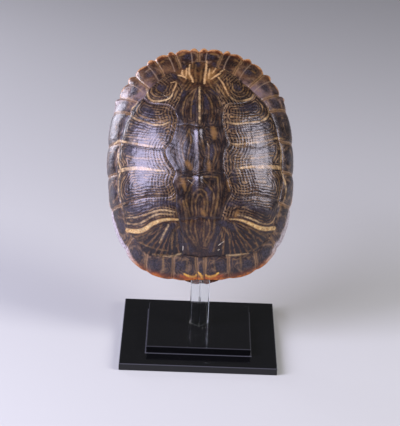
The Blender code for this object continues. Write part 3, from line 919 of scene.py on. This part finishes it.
def half_width_at(place):
    """The back's half width at a place along the shell."""
    reach = np.where(place > 0, TAIL_REACH, NECK_REACH)
    roundness = np.where(place > 0, TAIL_ROUNDNESS, NECK_ROUNDNESS)
    share = np.minimum(np.abs(place) / reach, 1.0)
    taper = 1.0 - NECK_TAPER * (np.minimum(place, 0.0) / NECK_REACH) ** 2
    return HALF_WIDTH * taper * (1.0 - share ** roundness) ** (1.0 / roundness)


def plastron_surface(place, side):
    """The belly's plain outer surface; side runs from -1 to 1 across it."""
    lobe = read_table(LOBE_WIDTHS, place) * read_table(VISIBLE_LIP, place)
    depth = read_table(PLASTRON_DEPTHS, place)
    joined = smooth_step(*BRIDGE_FRONT, place) * (1.0 - smooth_step(*BRIDGE_REAR, place))
    flat = lobe * (0.86 + 0.14 * joined)
    across = np.abs(side)
    climb = np.clip((across - FLAT_SHARE) / (1.0 - FLAT_SHARE), 0, 1)
    free_x = flat + (lobe - flat) * climb
    free_h = -depth + LOBE_EDGE_RISE * climb ** 2
    end_x = half_width_at(place) * BRIDGE_REACH
    bend_x = lobe + (end_x - lobe) * 0.62
    start_bend = lobe + (bend_x - lobe) * climb
    bend_end = bend_x + (end_x - bend_x) * climb
    wing_x = start_bend + (bend_end - start_bend) * climb
    wing_h = -depth + (BRIDGE_TOP + depth) * climb * climb
    x = np.where(across <= FLAT_SHARE, flat * across / FLAT_SHARE,
                 free_x + (wing_x - free_x) * joined)
    h = np.where(across <= FLAT_SHARE, -depth, free_h + (wing_h - free_h) * joined)
    return np.column_stack([np.copysign(x, side), place, h])


BELLY_SEAMS = [
    [(0, -119), (0, -104), (0.6, -80), (-0.5, -50), (0.4, -10), (-0.3, 30), (0.3, 60), (0, 94)],
    [(-20, -113), (-9, -106), (0, -101)],
    [(-47, -74), (-30, -76), (-12, -73), (0, -75)],
    [(-60, -46), (-40, -43), (-18, -45), (0, -42)],
    [(-62, 30), (-44, 26), (-20, 22), (0, 25)],
    [(-47, 62), (-30, 57), (-12, 54), (0, 58)],
    [(-60, -50), (-57, -20), (-58, 10), (-60, 34)],
]
PLASTRON_ROWS = 112
PLASTRON_COLUMNS = 72


def belly_seam_distance(points):
    """Distance of belly points from the belly's seams."""
    samples = []
    for line in BELLY_SEAMS:
        for side in (line, mirrored(line)):
            given = np.array(side, float)
            length = np.concatenate([[0], np.cumsum(np.linalg.norm(np.diff(given, axis=0), axis=1))])
            marks = np.arange(0, length[-1], 0.4)
            samples.append(np.column_stack([np.interp(marks, length, given[:, 0]),
                                            np.interp(marks, length, given[:, 1])]))
    tree = tree_of([(x, s, 0.0) for x, s in np.vstack(samples)])
    wobble_x = wander(points[:, :2], 0.7, 15.0, 21)
    wobble_s = wander(points[:, :2], 0.7, 14.0, 22)
    return np.array([tree.find((x + a, s + b, 0.0))[2]
                     for (x, s), a, b in zip(points[:, :2], wobble_x, wobble_s)])


def make_belly():
    """The belly and its bridges as one closed slab: points, quads and seam distances."""
    low, high = LOBE_WIDTHS[0][0], LOBE_WIDTHS[-1][0]
    places = np.linspace(low, high, PLASTRON_ROWS)
    columns = np.linspace(-1, 1, PLASTRON_COLUMNS + 1)
    place, side = [grid.ravel() for grid in np.meshgrid(places, columns, indexing="ij")]
    under = plastron_surface(place, side)
    seam = belly_seam_distance(under)
    wall = LIP_WALL + (WALL - LIP_WALL) * smooth_step(low, LIP_BACK, place)
    upper = under + np.column_stack([np.zeros_like(wall), np.zeros_like(wall), wall])
    edge = np.minimum(np.minimum(place - low, high - place),
                      (1 - np.abs(side)) * read_table(LOBE_WIDTHS, place))
    hollow = 1.2 * np.exp(-((place - 10) / 55.0) ** 2) * np.exp(-(under[:, 0] / 32.0) ** 2)
    carve = -0.40 * np.exp(-(seam / 0.8) ** 2) + 0.25 * (1 - np.exp(-(seam / 6.0) ** 2))
    carve += 0.05 * np.sin(2 * math.pi * seam / BELLY_PERIOD) * np.exp(-(seam / 14.0) ** 2)
    carve += wander(under[:, :2], 0.2, 30.0, 23)
    ease = smooth_step(0.0, 2.5, edge)
    rounded = 0.8 * (1 - smooth_step(0.0, 1.6, edge))
    under[:, 2] -= (carve - hollow) * ease - rounded
    upper[:, 2] -= rounded
    for cloud in (under, upper):
        notch = np.exp(-(cloud[:, 0] / 5.0) ** 2) * smooth_step(high - 16, high, place)
        cloud[:, 1] -= 5.0 * notch
        at_lip = 1 - smooth_step(low, low + 16, place)
        cloud[:, 1] += 4.0 * (np.abs(cloud[:, 0]) / 18.0) ** 2 * at_lip
        gular = np.exp(-(cloud[:, 0] / 2.2) ** 2) * (1 - smooth_step(low, low + 6, place))
        cloud[:, 1] += 0.9 * gular
    shift = len(under)
    width = PLASTRON_COLUMNS + 1
    quads = []
    for row in range(PLASTRON_ROWS - 1):
        for column in range(PLASTRON_COLUMNS):
            corner = row * width + column
            quads.append((corner, corner + width, corner + width + 1, corner + 1))
            quads.append((shift + corner, shift + corner + 1, shift + corner + width + 1,
                          shift + corner + width))
    first = list(range(width))
    right = [row * width + width - 1 for row in range(PLASTRON_ROWS)]
    last = [(PLASTRON_ROWS - 1) * width + column for column in reversed(range(width))]
    left = [row * width for row in reversed(range(PLASTRON_ROWS))]
    border = first[:-1] + right[:-1] + last[:-1] + left[:-1]
    for index, here in enumerate(border):
        there = border[(index + 1) % len(border)]
        quads.append((here, there, shift + there, shift + here))
    return np.vstack([under, upper]), quads, np.concatenate([seam, seam])


# ------------------------------------------------------------------ the shell object


def shell_placement():
    """Shell millimetres to world metres, as the CAD model has it."""
    axes = Matrix(((1.0, 0.0, 0.0),
                   (0.0, math.sin(LEAN_BACK), -math.cos(LEAN_BACK)),
                   (0.0, math.cos(LEAN_BACK), math.sin(LEAN_BACK))))
    turned = Matrix.Rotation(TURN, 3, "Z").inverted() @ Matrix.Rotation(-LEAN_SIDE, 3, "Y") @ axes
    nuchal = turned @ Vector((0.0, -NECK_REACH, NECK_RIM_RISE))
    return np.array(turned), np.array(NUCHAL_EDGE - nuchal)


HORN, BELLY, BONE = 0, 1, 2  # material slots
HORN_RINGS = 4  # rings of the rounded edge that are horn, counted from the back
FAR = 9.0  # stored where a line is out of reach


def shell_faces(top_faces, rings, vault_faces, vault_start):
    """Faces of the back, its rounded edge and the vault, with their material slots."""
    faces = [tuple(face) for face in top_faces.tolist()]
    slots = [HORN] * len(faces)
    for number, (near, far) in enumerate(zip(rings[:-1], rings[1:])):
        for index in range(len(near)):
            after = (index + 1) % len(near)
            faces.append((near[index], far[index], far[after], near[after]))
            slots.append(HORN if number < HORN_RINGS else BONE)
    faces += [tuple(vault_start + index for index in face) for face in vault_faces.tolist()]
    slots += [BONE] * len(vault_faces)
    return faces, slots


def belly_faces(quads, belly, start):
    """Faces of the belly, with bone on its upper side behind the lip."""
    faces = [tuple(start + index for index in quad) for quad in quads]
    half = len(belly) // 2
    slots = [BONE if min(quad) >= half and belly[min(quad)][1] > LIP_BACK else BELLY
             for quad in quads]
    return faces, slots


def store_fields(mesh, points, fields, rim_count, rows, top_count, belly_start, belly_seam):
    """Stores the pattern fields on the mesh, three to an attribute."""
    def spread(name, elsewhere):
        values = np.full(len(points), float(elsewhere))
        values[:top_count] = fields[name]
        for row in range(rows):
            start = top_count + row * rim_count
            values[start:start + rim_count] = fields[name][:rim_count]
        return values

    def store(name, columns):
        attribute = mesh.attributes.new(name, "FLOAT_VECTOR", "POINT")
        attribute.data.foreach_set("vector", np.column_stack(columns).astype(np.float32).ravel())

    seam = spread("seam", FAR)
    seam[belly_start:] = belly_seam
    store("shell_place", [points])
    store("seam_fields", [seam, spread("side", 40.0), spread("contour", FAR)])
    store("stroke_fields", [spread(name, FAR) for name in ("yellow", "cream", "glow")])
    store("patch_fields", [spread("dark", FAR), spread("blotch", 99.0), spread("rim", 40.0)])
    store("scute_kind", [spread(name, 0.0) for name in ("vertebral", "costal", "marginal_scute")])
    store("edge_fields", [spread(name, FAR) for name in ("marginal", "notch", "tan")])
    store("fan_fields", [spread("fan", 0.0), spread("fan_share", 0.0), spread("scratch", FAR)])


def build_shell():
    """One mesh of the whole shell, with the pattern fields stored on its points."""
    places, top, top_faces, fields, rim_count = make_top()
    edge_rows, vault, vault_faces = make_inside(places[:rim_count], top[:rim_count])
    belly, belly_quads, belly_seam = make_belly()
    vault_start = len(top) + len(edge_rows) * rim_count
    belly_start = vault_start + len(vault)

    starts = [0] + [len(top) + row * rim_count for row in range(len(edge_rows) + 1)]
    rings = [list(range(start, start + rim_count)) for start in starts]
    faces, slots = shell_faces(top_faces, rings, vault_faces, vault_start)
    more_faces, more_slots = belly_faces(belly_quads, belly, belly_start)

    points = np.vstack([top] + edge_rows + [vault, belly])
    turned, shift = shell_placement()
    mesh = bpy.data.meshes.new("turtle_shell_surface")
    mesh.from_pydata(((points @ turned.T + shift) * MM).tolist(), [], faces + more_faces)
    mesh.polygons.foreach_set("material_index", slots + more_slots)
    mesh.update()
    mesh.shade_smooth()
    store_fields(mesh, points, fields, rim_count, len(edge_rows), len(top), belly_start,
                 belly_seam)
    shell = bpy.data.objects.new("shell_surface", mesh)
    bpy.context.scene.collection.objects.link(shell)
    return shell


# ------------------------------------------------------------------ materials


def colour(text):
    """A '#rrggbb' colour as linear red, green, blue and 1."""
    parts = [int(text[i:i + 2], 16) / 255.0 for i in (1, 3, 5)]
    linear = [c / 12.92 if c <= 0.04045 else ((c + 0.055) / 1.055) ** 2.4 for c in parts]
    return (*linear, 1.0)


class Value:
    """A number from a node's socket. Arithmetic on it adds math nodes."""

    def __init__(self, tree, socket):
        self.tree = tree
        self.socket = socket

    def __add__(self, other):
        return self.tree.math("ADD", self, other)

    def __sub__(self, other):
        return self.tree.math("SUBTRACT", self, other)

    def __rsub__(self, other):
        return self.tree.math("SUBTRACT", other, self)

    def __mul__(self, other):
        return self.tree.math("MULTIPLY", self, other)

    def __abs__(self):
        return self.tree.math("ABSOLUTE", self)

    def most(self, other):
        """The larger of two numbers."""
        return self.tree.math("MAXIMUM", self, other)

    def ease(self, low, high, first, last):
        """first below low and last above high, with a smooth change between."""
        made = self.tree.node("ShaderNodeMapRange", interpolation_type="SMOOTHSTEP")
        for socket, item in zip(made.inputs, (self, low, high, first, last)):
            self.tree.plug(socket, item)
        return Value(self.tree, made.outputs[0])

    def rise(self, low, high):
        """0 below low and 1 above high."""
        return self.ease(low, high, 0.0, 1.0)

    def fall(self, low, high):
        """1 below low and 0 above high."""
        return self.ease(low, high, 1.0, 0.0)

    def waves(self, period, low, high):
        """Soft lines, one each period."""
        return self.tree.math("SINE", self * (2 * math.pi / period)).rise(low, high)


class Tree:
    """Short ways to add nodes to one material, whose colour is painted layer by layer."""

    def __init__(self, name):
        self.material = bpy.data.materials.new(name)
        self.material.use_nodes = True
        self.tree = self.material.node_tree
        self.shader = self.tree.nodes["Principled BSDF"]
        self.base = None

    def plug(self, socket, value):
        """Links a socket, or sets its value."""
        if isinstance(value, Value):
            value = value.socket
        if isinstance(value, bpy.types.NodeSocket):
            self.tree.links.new(value, socket)
        elif value is not None:
            socket.default_value = value

    def node(self, kind, **settings):
        """A node with its properties set."""
        made = self.tree.nodes.new(kind)
        for key, value in settings.items():
            setattr(made, key, value)
        return made

    def parts(self, vector):
        """The three numbers of a vector."""
        made = self.node("ShaderNodeSeparateXYZ")
        self.plug(made.inputs[0], vector)
        return [Value(self, socket) for socket in made.outputs]

    def field(self, name):
        """A stored field's three numbers."""
        return self.parts(self.node("ShaderNodeAttribute", attribute_name=name).outputs["Vector"])

    def place(self):
        """Places in shell millimetres."""
        return self.node("ShaderNodeAttribute", attribute_name="shell_place").outputs["Vector"]

    def math(self, operation, first, second=None, clamp=False):
        """One arithmetic step."""
        made = self.node("ShaderNodeMath", operation=operation, use_clamp=clamp)
        self.plug(made.inputs[0], first)
        self.plug(made.inputs[1], second)
        return Value(self, made.outputs[0])

    def noise(self, vector, scale, detail=3.0, roughness=0.55):
        """Noise from 0 to 1."""
        made = self.node("ShaderNodeTexNoise")
        self.plug(made.inputs["Vector"], vector)
        made.inputs["Scale"].default_value = scale
        made.inputs["Detail"].default_value = detail
        made.inputs["Roughness"].default_value = roughness
        return Value(self, made.outputs["Fac"])

    def stretch(self, vector, scale):
        """A vector multiplied part by part."""
        made = self.node("ShaderNodeVectorMath", operation="MULTIPLY")
        self.plug(made.inputs[0], vector)
        made.inputs[1].default_value = scale
        return made.outputs[0]

    def mix(self, share, first, second):
        """Blend of two colours."""
        made = self.node("ShaderNodeMix", data_type="RGBA")
        self.plug(made.inputs[0], share)
        self.plug(made.inputs[6], colour(first) if isinstance(first, str) else first)
        self.plug(made.inputs[7], colour(second) if isinstance(second, str) else second)
        return made.outputs[2]

    def paint(self, share, over):
        """Lays one more colour over the base colour."""
        self.base = self.mix(share, self.base, over)

    def bump(self, height, strength, distance):
        """Roughens the surface by a height."""
        made = self.node("ShaderNodeBump")
        made.inputs["Strength"].default_value = strength
        made.inputs["Distance"].default_value = distance
        self.plug(made.inputs["Height"], height)
        self.plug(self.shader.inputs["Normal"], made.outputs[0])

    def finish(self, roughness, **settings):
        """Plugs in the painted colour and the roughness, and sets other sockets by name."""
        self.plug(self.shader.inputs["Base Color"], self.base)
        self.plug(self.shader.inputs["Roughness"], roughness)
        for name, value in settings.items():
            self.shader.inputs[name.replace("_", " ")].default_value = value
        return self.material


def horn_fields(t):
    """What the back's layers read: stored distances, scute kinds and noises."""
    f = SimpleNamespace()
    f.seam, f.side, f.contour = t.field("seam_fields")
    f.yellow, f.cream, f.glow = t.field("stroke_fields")
    f.dark, f.blotch, f.rim = t.field("patch_fields")
    f.vertebral, f.costal, f.marginal = t.field("scute_kind")
    f.fan, f.fan_share, f.scratch = t.field("fan_fields")
    f.marginal_seam, f.notch, f.tan = t.field("edge_fields")
    f.place = t.place()
    f.x, f.s, _ = t.parts(f.place)
    f.cloud = t.noise(f.place, 0.11, 4.0)
    f.patchy = t.noise(f.place, 0.16)
    f.fine = t.noise(f.place, 0.55)
    f.grain = t.noise(f.place, 1.7, 2.0)
    f.mottle = t.noise(f.place, 0.06, 4.0, 0.65)
    f.faded = t.noise(f.place, 0.19, 4.0).ease(0.34, 0.62, 0.2, 1.0)
    f.ragged = f.fine - 0.5
    f.wobble = (t.noise(f.place, 0.2) - 0.5) * 3.0 + f.ragged * 1.4
    f.warm = f.s.rise(45, 72).most(f.s.fall(-72, -48))
    f.front = f.s.fall(-108, -98)
    f.unfanned = 1.0 - f.fan_share
    f.turn = (f.contour + f.ragged * 0.9) * (2 * math.pi / LINE_PERIOD)
    f.contour_wave = t.math("SINE", f.turn)
    return f


def paint_ground(t, f):
    """Dark umber, warmer towards neck and tail, slate and brown on the marginals."""
    t.base = t.mix(t.noise(f.place, 0.035).rise(0.35, 0.65), "#120d0e", "#1e1515")
    t.paint(f.warm * 0.6, "#26150f")
    t.paint(f.cloud.rise(0.45, 0.7) * 0.4, "#3c2925")
    tail_grey = t.mix(f.s.rise(62, 80), "#8a7478", "#6f4d34")
    tail_grey = t.mix(f.mottle.rise(0.36, 0.62), "#33231d", tail_grey)
    grey = t.mix(f.cloud.rise(0.35, 0.65), "#1c1719", "#3a3031")
    grey = t.mix(f.s.rise(30, 60) * 0.75, grey, tail_grey)
    grey = t.mix(f.s.rise(84, 98) * 0.9, grey, "#251008")
    t.paint(f.marginal * 0.75, grey)
    t.paint(f.s.fall(-72, -58) * abs(f.x).fall(8, 15) * f.vertebral * 0.6, "#2b1812")
    tail_brown = t.mix(f.cloud.rise(0.35, 0.6), "#2a190f", "#6d4726")
    t.paint(f.s.rise(60, 70) * f.vertebral * 0.7, tail_brown)
    t.paint(f.mottle.fall(0.36, 0.50) * 0.5, "#0b0708")


def paint_growth_lines(t, f):
    """Thin lines that follow the seams and strokes, and ridges beside the vertebrals."""
    wave = f.contour_wave + ((f.patchy - 0.5) * 3.4 + (f.mottle - 0.5) * 3.0)
    tan = t.mix(f.cloud.rise(0.38, 0.62), "#67482f", "#a98862")
    tan = t.mix(f.warm * 0.6, tan, t.mix(f.cloud.rise(0.38, 0.62), "#634020", "#97703c"))
    share = f.costal * 0.6 + f.vertebral * 0.2 + f.marginal * 0.34
    worn = t.noise(f.place, 0.14, 4.0).ease(0.38, 0.58, 0.35, 1.0)
    shown = share * f.s.ease(46, 62, 1.0, 0.7) * f.unfanned * worn
    t.paint(wave.rise(-0.1, 1.0) * shown, tan)
    ridges = (f.side + f.wobble * 0.35).waves(RIDGE_PERIOD, -0.2, 0.8)
    worn = t.noise(t.stretch(f.place, (0.5, 1.0, 0.5)), 0.25).rise(0.3, 0.6)
    near_side = f.side.fall(8, 30) * f.costal * f.unfanned
    t.paint(ridges * near_side * worn * 0.5, "#7f6447")


def paint_fan(t, f):
    """Dark first costals with pale rays."""
    rays = (f.fan * FAN_RAYS + f.wobble * 1.5).waves(2 * math.pi, 0.1, 0.95)
    t.paint(f.fan_share * 0.75, "#140c0a")
    t.paint(rays * f.fan_share * f.patchy.rise(0.34, 0.6) * 0.6, "#74502c")


def paint_streaks(t, f):
    """Dark flanks and lengthwise streaks of the vertebrals, and flecks of the costals."""
    t.paint(f.side.fall(1, 8) * f.vertebral * 0.55, "#1d1618")
    streak = t.noise(t.stretch(f.place, (1.0, 0.16, 1.0)), 0.42, 4.0, 0.6)
    t.paint(streak.rise(0.5, 0.66) * f.vertebral * 0.35, "#5e4126")
    t.paint(streak.fall(0.36, 0.5) * f.vertebral * 0.6, "#160e0b")
    fleck = t.noise(t.stretch(f.place, (0.7, 1.3, 1.0)), 0.9)
    t.paint(fleck.rise(0.54, 0.66) * f.costal * 0.5, "#17100f")


def paint_marginals(t, f):
    """A slate blotch with a tan ring on each marginal, and pale lines at their seams."""
    blotch = f.blotch + f.wobble
    slate = t.mix(f.fine.rise(0.4, 0.6), "#131115", "#39343f")
    t.paint(blotch.fall(2.5, 8.0) * f.marginal * 0.8, slate)
    ring = blotch.rise(7, 9) * blotch.fall(9, 12) * f.marginal
    t.paint(ring * f.patchy.rise(0.4, 0.6) * 0.45, "#8d7058")
    t.paint((f.marginal_seam + f.wobble).fall(0.6, 2.6) * f.marginal * 0.44, "#a07a52")
    t.paint((f.notch + f.ragged).fall(-0.4, 0.7) * 0.38, "#b3967c")


def paint_strokes(t, f):
    """Drawn patches, tan and cream lines, the yellow bands, and the neck's crescents and orange
    patches, which are painted bright as a painted glow of light through the horn.
    """
    edge = f.ragged * 2.0
    patch = (f.dark + f.wobble * 1.2).fall(-1.0, 2.6)
    t.paint(patch * 0.78, t.mix(f.fine.rise(0.35, 0.6), "#15110f", "#2f2a36"))
    # Orange-tan patches, bright orange at the neck edge as a painted glow of light through the horn.
    t.paint((f.glow + f.wobble).fall(-1.8, 1.6) * 0.6, t.mix(f.front, "#876236", "#d8640e"))
    drawn = (f.tan + f.ragged * 2.2).fall(-0.8, 1.1) * f.faded
    drawn = drawn * f.mottle.ease(0.36, 0.52, 0.55, 1.0) * f.vertebral.ease(0, 1, 1.0, 0.78)
    t.paint(drawn * 0.56, "#927043")
    cream = t.mix(f.cloud.rise(0.35, 0.65), "#a3825a", "#d0b184")
    t.paint((f.cream + edge).fall(-0.8, 1.0) * f.faded * 0.88, cream)
    t.paint((f.yellow + edge).fall(0.6, 2.8) * f.costal * 0.65, "#2f190f")
    yellow = t.mix(f.fine.rise(0.35, 0.65), "#b58a52", "#dcbd86")
    yellow = t.mix(f.s.rise(40, 60) * 0.6, yellow, "#c79c70")
    # At the neck the yellow turns bright: the crescents there are a painted glow of light through the
    # horn edge.
    yellow = t.mix(f.s.fall(-112, -106), yellow, "#f2b850")
    worn = f.faded.ease(0.35, 0.7, 0.7, 1.0)
    t.paint((f.yellow + edge).fall(-0.9, 0.8) * worn * 0.95, yellow)


def paint_rim(t, f):
    """Amber towards both ends as a painted glow of light through the thin horn, and a pale painted
    highlight along the edge that turns orange at the neck as painted glow.
    """
    # Painted glow of light through the thin horn towards both ends.
    amber_glow = (f.rim + f.wobble).fall(1.5, 7.0) * abs(f.s).rise(62, 104)
    t.paint(amber_glow * 0.6, "#6a320f")
    # The pale band along the edge is a painted highlight, widest on the neck shoulders. At the neck it
    # turns orange as painted glow.
    shoulder = f.s.rise(-112, -84) * f.s.fall(-56, -36)
    flank = f.s.rise(-50, -30) * f.s.fall(50, 66)
    width = shoulder * 7.0 + flank * 1.6 + f.s.ease(56, 70, 0.9, 2.2)
    pale = t.mix(f.fine.rise(0.3, 0.7), "#8f8388", "#cbc2c9")
    pale = t.mix(shoulder.most(flank), "#c08d5e", pale)
    pale = t.mix(f.front, pale, "#b86a26")
    t.paint((f.rim + f.wobble * 2.4 - width).fall(-1.9, 1.2) * 0.85, pale)


def horn_material():
    """The back's varnished scutes."""
    t = Tree("shell_horn_back")
    f = horn_fields(t)
    for layer in (paint_ground, paint_growth_lines, paint_fan, paint_streaks, paint_marginals,
                  paint_strokes, paint_rim):
        layer(t, f)
    t.paint((f.seam + f.ragged * 0.4).fall(0.05, 0.6) * 0.6, "#160f0e")
    t.paint(f.scratch.fall(-0.1, 0.2) * 0.8, "#d8cbb8")
    t.paint(t.noise(f.place, 2.6, 2.0).rise(0.66, 0.74) * 0.15, "#b9a894")
    t.paint(f.grain.rise(0.35, 0.8) * 0.25, "#150d0b")
    t.bump(f.contour_wave * 0.2 + f.fine * 1.1 + f.grain * 0.5, 0.5, 0.00016)
    return t.finish(f.cloud.ease(0.3, 0.7, 0.27, 0.38) + f.ragged * 0.12, IOR=1.5,
                    Specular_Tint=(0.90, 0.85, 1.0, 1.0), Coat_Weight=0.15, Coat_Roughness=0.24)


def belly_material():
    """The belly's yellow scutes with dark smudges, alike on both sides."""
    t = Tree("shell_horn_belly")
    seam = t.field("seam_fields")[0]
    place = t.place()
    x, s, _ = t.parts(place)
    fine = t.noise(place, 0.5)
    t.base = t.mix(t.noise(place, 0.06, 4.0).rise(0.35, 0.65), "#96693a", "#c2965a")
    # Orange towards the neck: a painted glow of light through the thin lip, made bright against its
    # shade.
    t.paint(s.fall(-112, -92) * 0.92, "#933a07")
    t.paint((seam + (fine - 0.5) * 1.4).waves(BELLY_PERIOD, 0.1, 0.9) * 0.22, "#8a5426")
    folded = t.node("ShaderNodeCombineXYZ")
    t.plug(folded.inputs[0], abs(x))
    t.plug(folded.inputs[1], s)
    smudge = t.noise(folded.outputs[0], 0.034, 2.0) + (fine - 0.5) * 0.12
    t.paint(smudge.rise(0.52, 0.66) * 0.7, "#3d2a1d")
    t.paint(seam.fall(0.3, 1.1) * 0.75, "#2c1a10")
    t.bump(fine, 0.4, 0.0002)
    return t.finish(fine.ease(0.3, 0.7, 0.32, 0.46), IOR=1.54, Coat_Weight=0.05,
                    Coat_Roughness=0.2)


def bone_material():
    """The bare bone inside."""
    t = Tree("shell_bone_inside")
    place = t.place()
    cloud = t.noise(place, 0.05, 4.0)
    pores = t.noise(place, 1.3)
    t.base = t.mix(cloud.rise(0.3, 0.7), "#b79c76", "#dccbaa")
    t.paint(pores.rise(0.55, 0.7) * 0.4, "#8c6f4c")
    t.paint((t.parts(place)[1] + cloud * 5.0).waves(RIB_PERIOD, 0.93, 1.0) * 0.5, "#7d6142")
    t.bump(pores, 0.5, 0.0003)
    return t.finish(pores.ease(0.3, 0.7, 0.55, 0.75))


def stand_place(t):
    """Object coordinates, in millimetres."""
    made = t.node("ShaderNodeTexCoord")
    return t.stretch(made.outputs["Object"], (1000.0, 1000.0, 1000.0))


def plate_edge_dust_and_highlight(t, place):
    """Where the plates' top edges and the foot of the upper plate catch dust and a painted highlight.
    """
    x, y, z = t.parts(place)
    reach = abs(x).most(abs(y))
    low_rim = reach.rise(LOWER_HALF - 0.9, LOWER_HALF - 0.4) * z.rise(PLATE - 0.8, PLATE - 0.5)
    low_rim = t.math("MULTIPLY", low_rim, 0.7 - z.rise(PLATE + 0.6, PLATE + 1.0), clamp=True)
    foot = reach.fall(UPPER_HALF + 0.5, UPPER_HALF + 1.5) * z.fall(PLATE + 0.3, PLATE + 0.8)
    high_rim = (reach.rise(UPPER_HALF - 0.9, UPPER_HALF - 0.4)
                * z.ease(2 * PLATE - 0.6, 2 * PLATE - 0.3, 0.0, 0.35))
    return low_rim.most(high_rim).most(foot)


def plinth_material():
    """Polished black acrylic with light dust and hairline scuffs."""
    t = Tree("black_acrylic")
    place = stand_place(t)
    dust = t.noise(place, 0.9).rise(0.64, 0.74)
    haze = t.noise(place, 0.02).rise(0.35, 0.7)
    scuff = t.noise(t.stretch(place, (0.05, 1.6, 1.0)), 1.2, 2.0).rise(0.69, 0.74)
    t.base = t.mix(dust * 0.10, "#0b0b0d", "#6a6a70")
    t.paint(scuff * 0.10, "#70707a")
    # Painted highlight and light dust along the plates' edges and the upper plate's foot.
    t.paint(plate_edge_dust_and_highlight(t, place) * 0.3, "#8b8b97")
    return t.finish(haze * 0.05 + dust * 0.10 + 0.10, IOR=ACRYLIC_IOR)


def post_material():
    """Clear polished acrylic."""
    t = Tree("clear_acrylic")
    dust = t.noise(stand_place(t), 0.7).rise(0.6, 0.75)
    t.base = t.mix(dust * 0.08, "#f4f8fa", "#c9ced2")
    return t.finish(dust * 0.05 + 0.02, IOR=ACRYLIC_IOR, Transmission_Weight=1.0)


def dress_nodes():
    """Materials of the stand's CAD nodes."""
    plinth, post = plinth_material(), post_material()
    for name, material, slot in (("lower_plinth", plinth, "black_gloss"),
                                 ("upper_plinth", plinth, "black_gloss"),
                                 ("acrylic_post", post, "clear_acrylic")):
        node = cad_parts[name]
        node.data.materials.clear()
        node.data.materials.append(material)


# ------------------------------------------------------------------ camera, floor and light

CAMERA_PLACE = Vector((-0.0170, -1.6669, 0.7932))
CAMERA_AZIMUTH = math.radians(-0.48)
CAMERA_ELEVATION = math.radians(21.61)
CAMERA_ROLL = math.radians(2.21)
CAMERA_LENS = 158.4
FLOOR_HALF = 6.0
LIGHT_AIM = Vector((0.0, 0.02, 0.16))
# name, place, width and height, power, tint: stronger and more violet on the left
SOFTBOXES = (
    ("key_softbox", (-1.34, -0.62, 0.88), (0.85, 1.0), 49.0, (0.80, 0.78, 1.0)),
    ("fill_softbox", (1.30, -0.50, 1.00), (0.6, 1.0), 24.0, (1.0, 0.97, 0.98)),
    ("inner_softbox", (-0.78, -1.14, 1.22), (0.5, 0.5), 10.0, (0.86, 0.85, 1.0)),
    ("back_softbox", (-1.15, 1.05, 0.36), (0.6, 0.7), 11.0, (0.88, 0.87, 1.0)),
)


def make_camera():
    """The camera at the photograph's angle."""
    level = math.cos(CAMERA_ELEVATION)
    back = Vector((math.sin(CAMERA_AZIMUTH) * level, -math.cos(CAMERA_AZIMUTH) * level,
                   math.sin(CAMERA_ELEVATION)))
    right = Vector((math.cos(CAMERA_AZIMUTH), math.sin(CAMERA_AZIMUTH), 0.0))
    up = back.cross(right)
    across = math.cos(CAMERA_ROLL) * right + math.sin(CAMERA_ROLL) * up
    upright = -math.sin(CAMERA_ROLL) * right + math.cos(CAMERA_ROLL) * up
    camera = bpy.data.objects.new("camera", bpy.data.cameras.new("camera"))
    camera.data.lens = CAMERA_LENS
    camera.data.clip_start = 0.05
    camera.data.clip_end = 50.0
    turned = Matrix((across, upright, back)).transposed().to_4x4()
    camera.matrix_world = Matrix.Translation(CAMERA_PLACE) @ turned
    bpy.context.scene.collection.objects.link(camera)
    bpy.context.scene.camera = camera


def make_floor():
    """A plain pale floor."""
    mesh = bpy.data.meshes.new("studio_floor")
    corners = [(x * FLOOR_HALF, y * FLOOR_HALF, 0) for x, y in ((-1, -1), (1, -1), (1, 1), (-1, 1))]
    mesh.from_pydata(corners, [], [(0, 1, 2, 3)])
    floor = bpy.data.objects.new("studio_floor", mesh)
    t = Tree("studio_floor")
    t.shader.inputs["Base Color"].default_value = (0.50, 0.50, 0.495, 1.0)
    t.shader.inputs["Roughness"].default_value = 0.8
    mesh.materials.append(t.material)
    bpy.context.scene.collection.objects.link(floor)


def make_light():
    """Soft boxes that the camera does not see, and a faint even light."""
    for name, place, size, power, tint in SOFTBOXES:
        light = bpy.data.lights.new(name, "AREA")
        light.shape = "RECTANGLE"
        light.size, light.size_y = size
        light.energy = power
        light.color = tint
        item = bpy.data.objects.new(name, light)
        item.location = place
        item.rotation_euler = (LIGHT_AIM - Vector(place)).to_track_quat("-Z", "Y").to_euler()
        item.visible_camera = False
        bpy.context.scene.collection.objects.link(item)
    world = bpy.data.worlds.new("studio")
    world.use_nodes = True
    background = world.node_tree.nodes["Background"]
    background.inputs["Color"].default_value = (0.80, 0.81, 0.84, 1.0)
    background.inputs["Strength"].default_value = 0.09
    bpy.context.scene.world = world


make_camera()
make_floor()
make_light()
dress_nodes()
shell = build_shell()
for made in (horn_material(), belly_material(), bone_material()):
    shell.data.materials.append(made)
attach(shell, "root")
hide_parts("turtle_shell")
bpy.context.scene.view_settings.view_transform = "Standard"
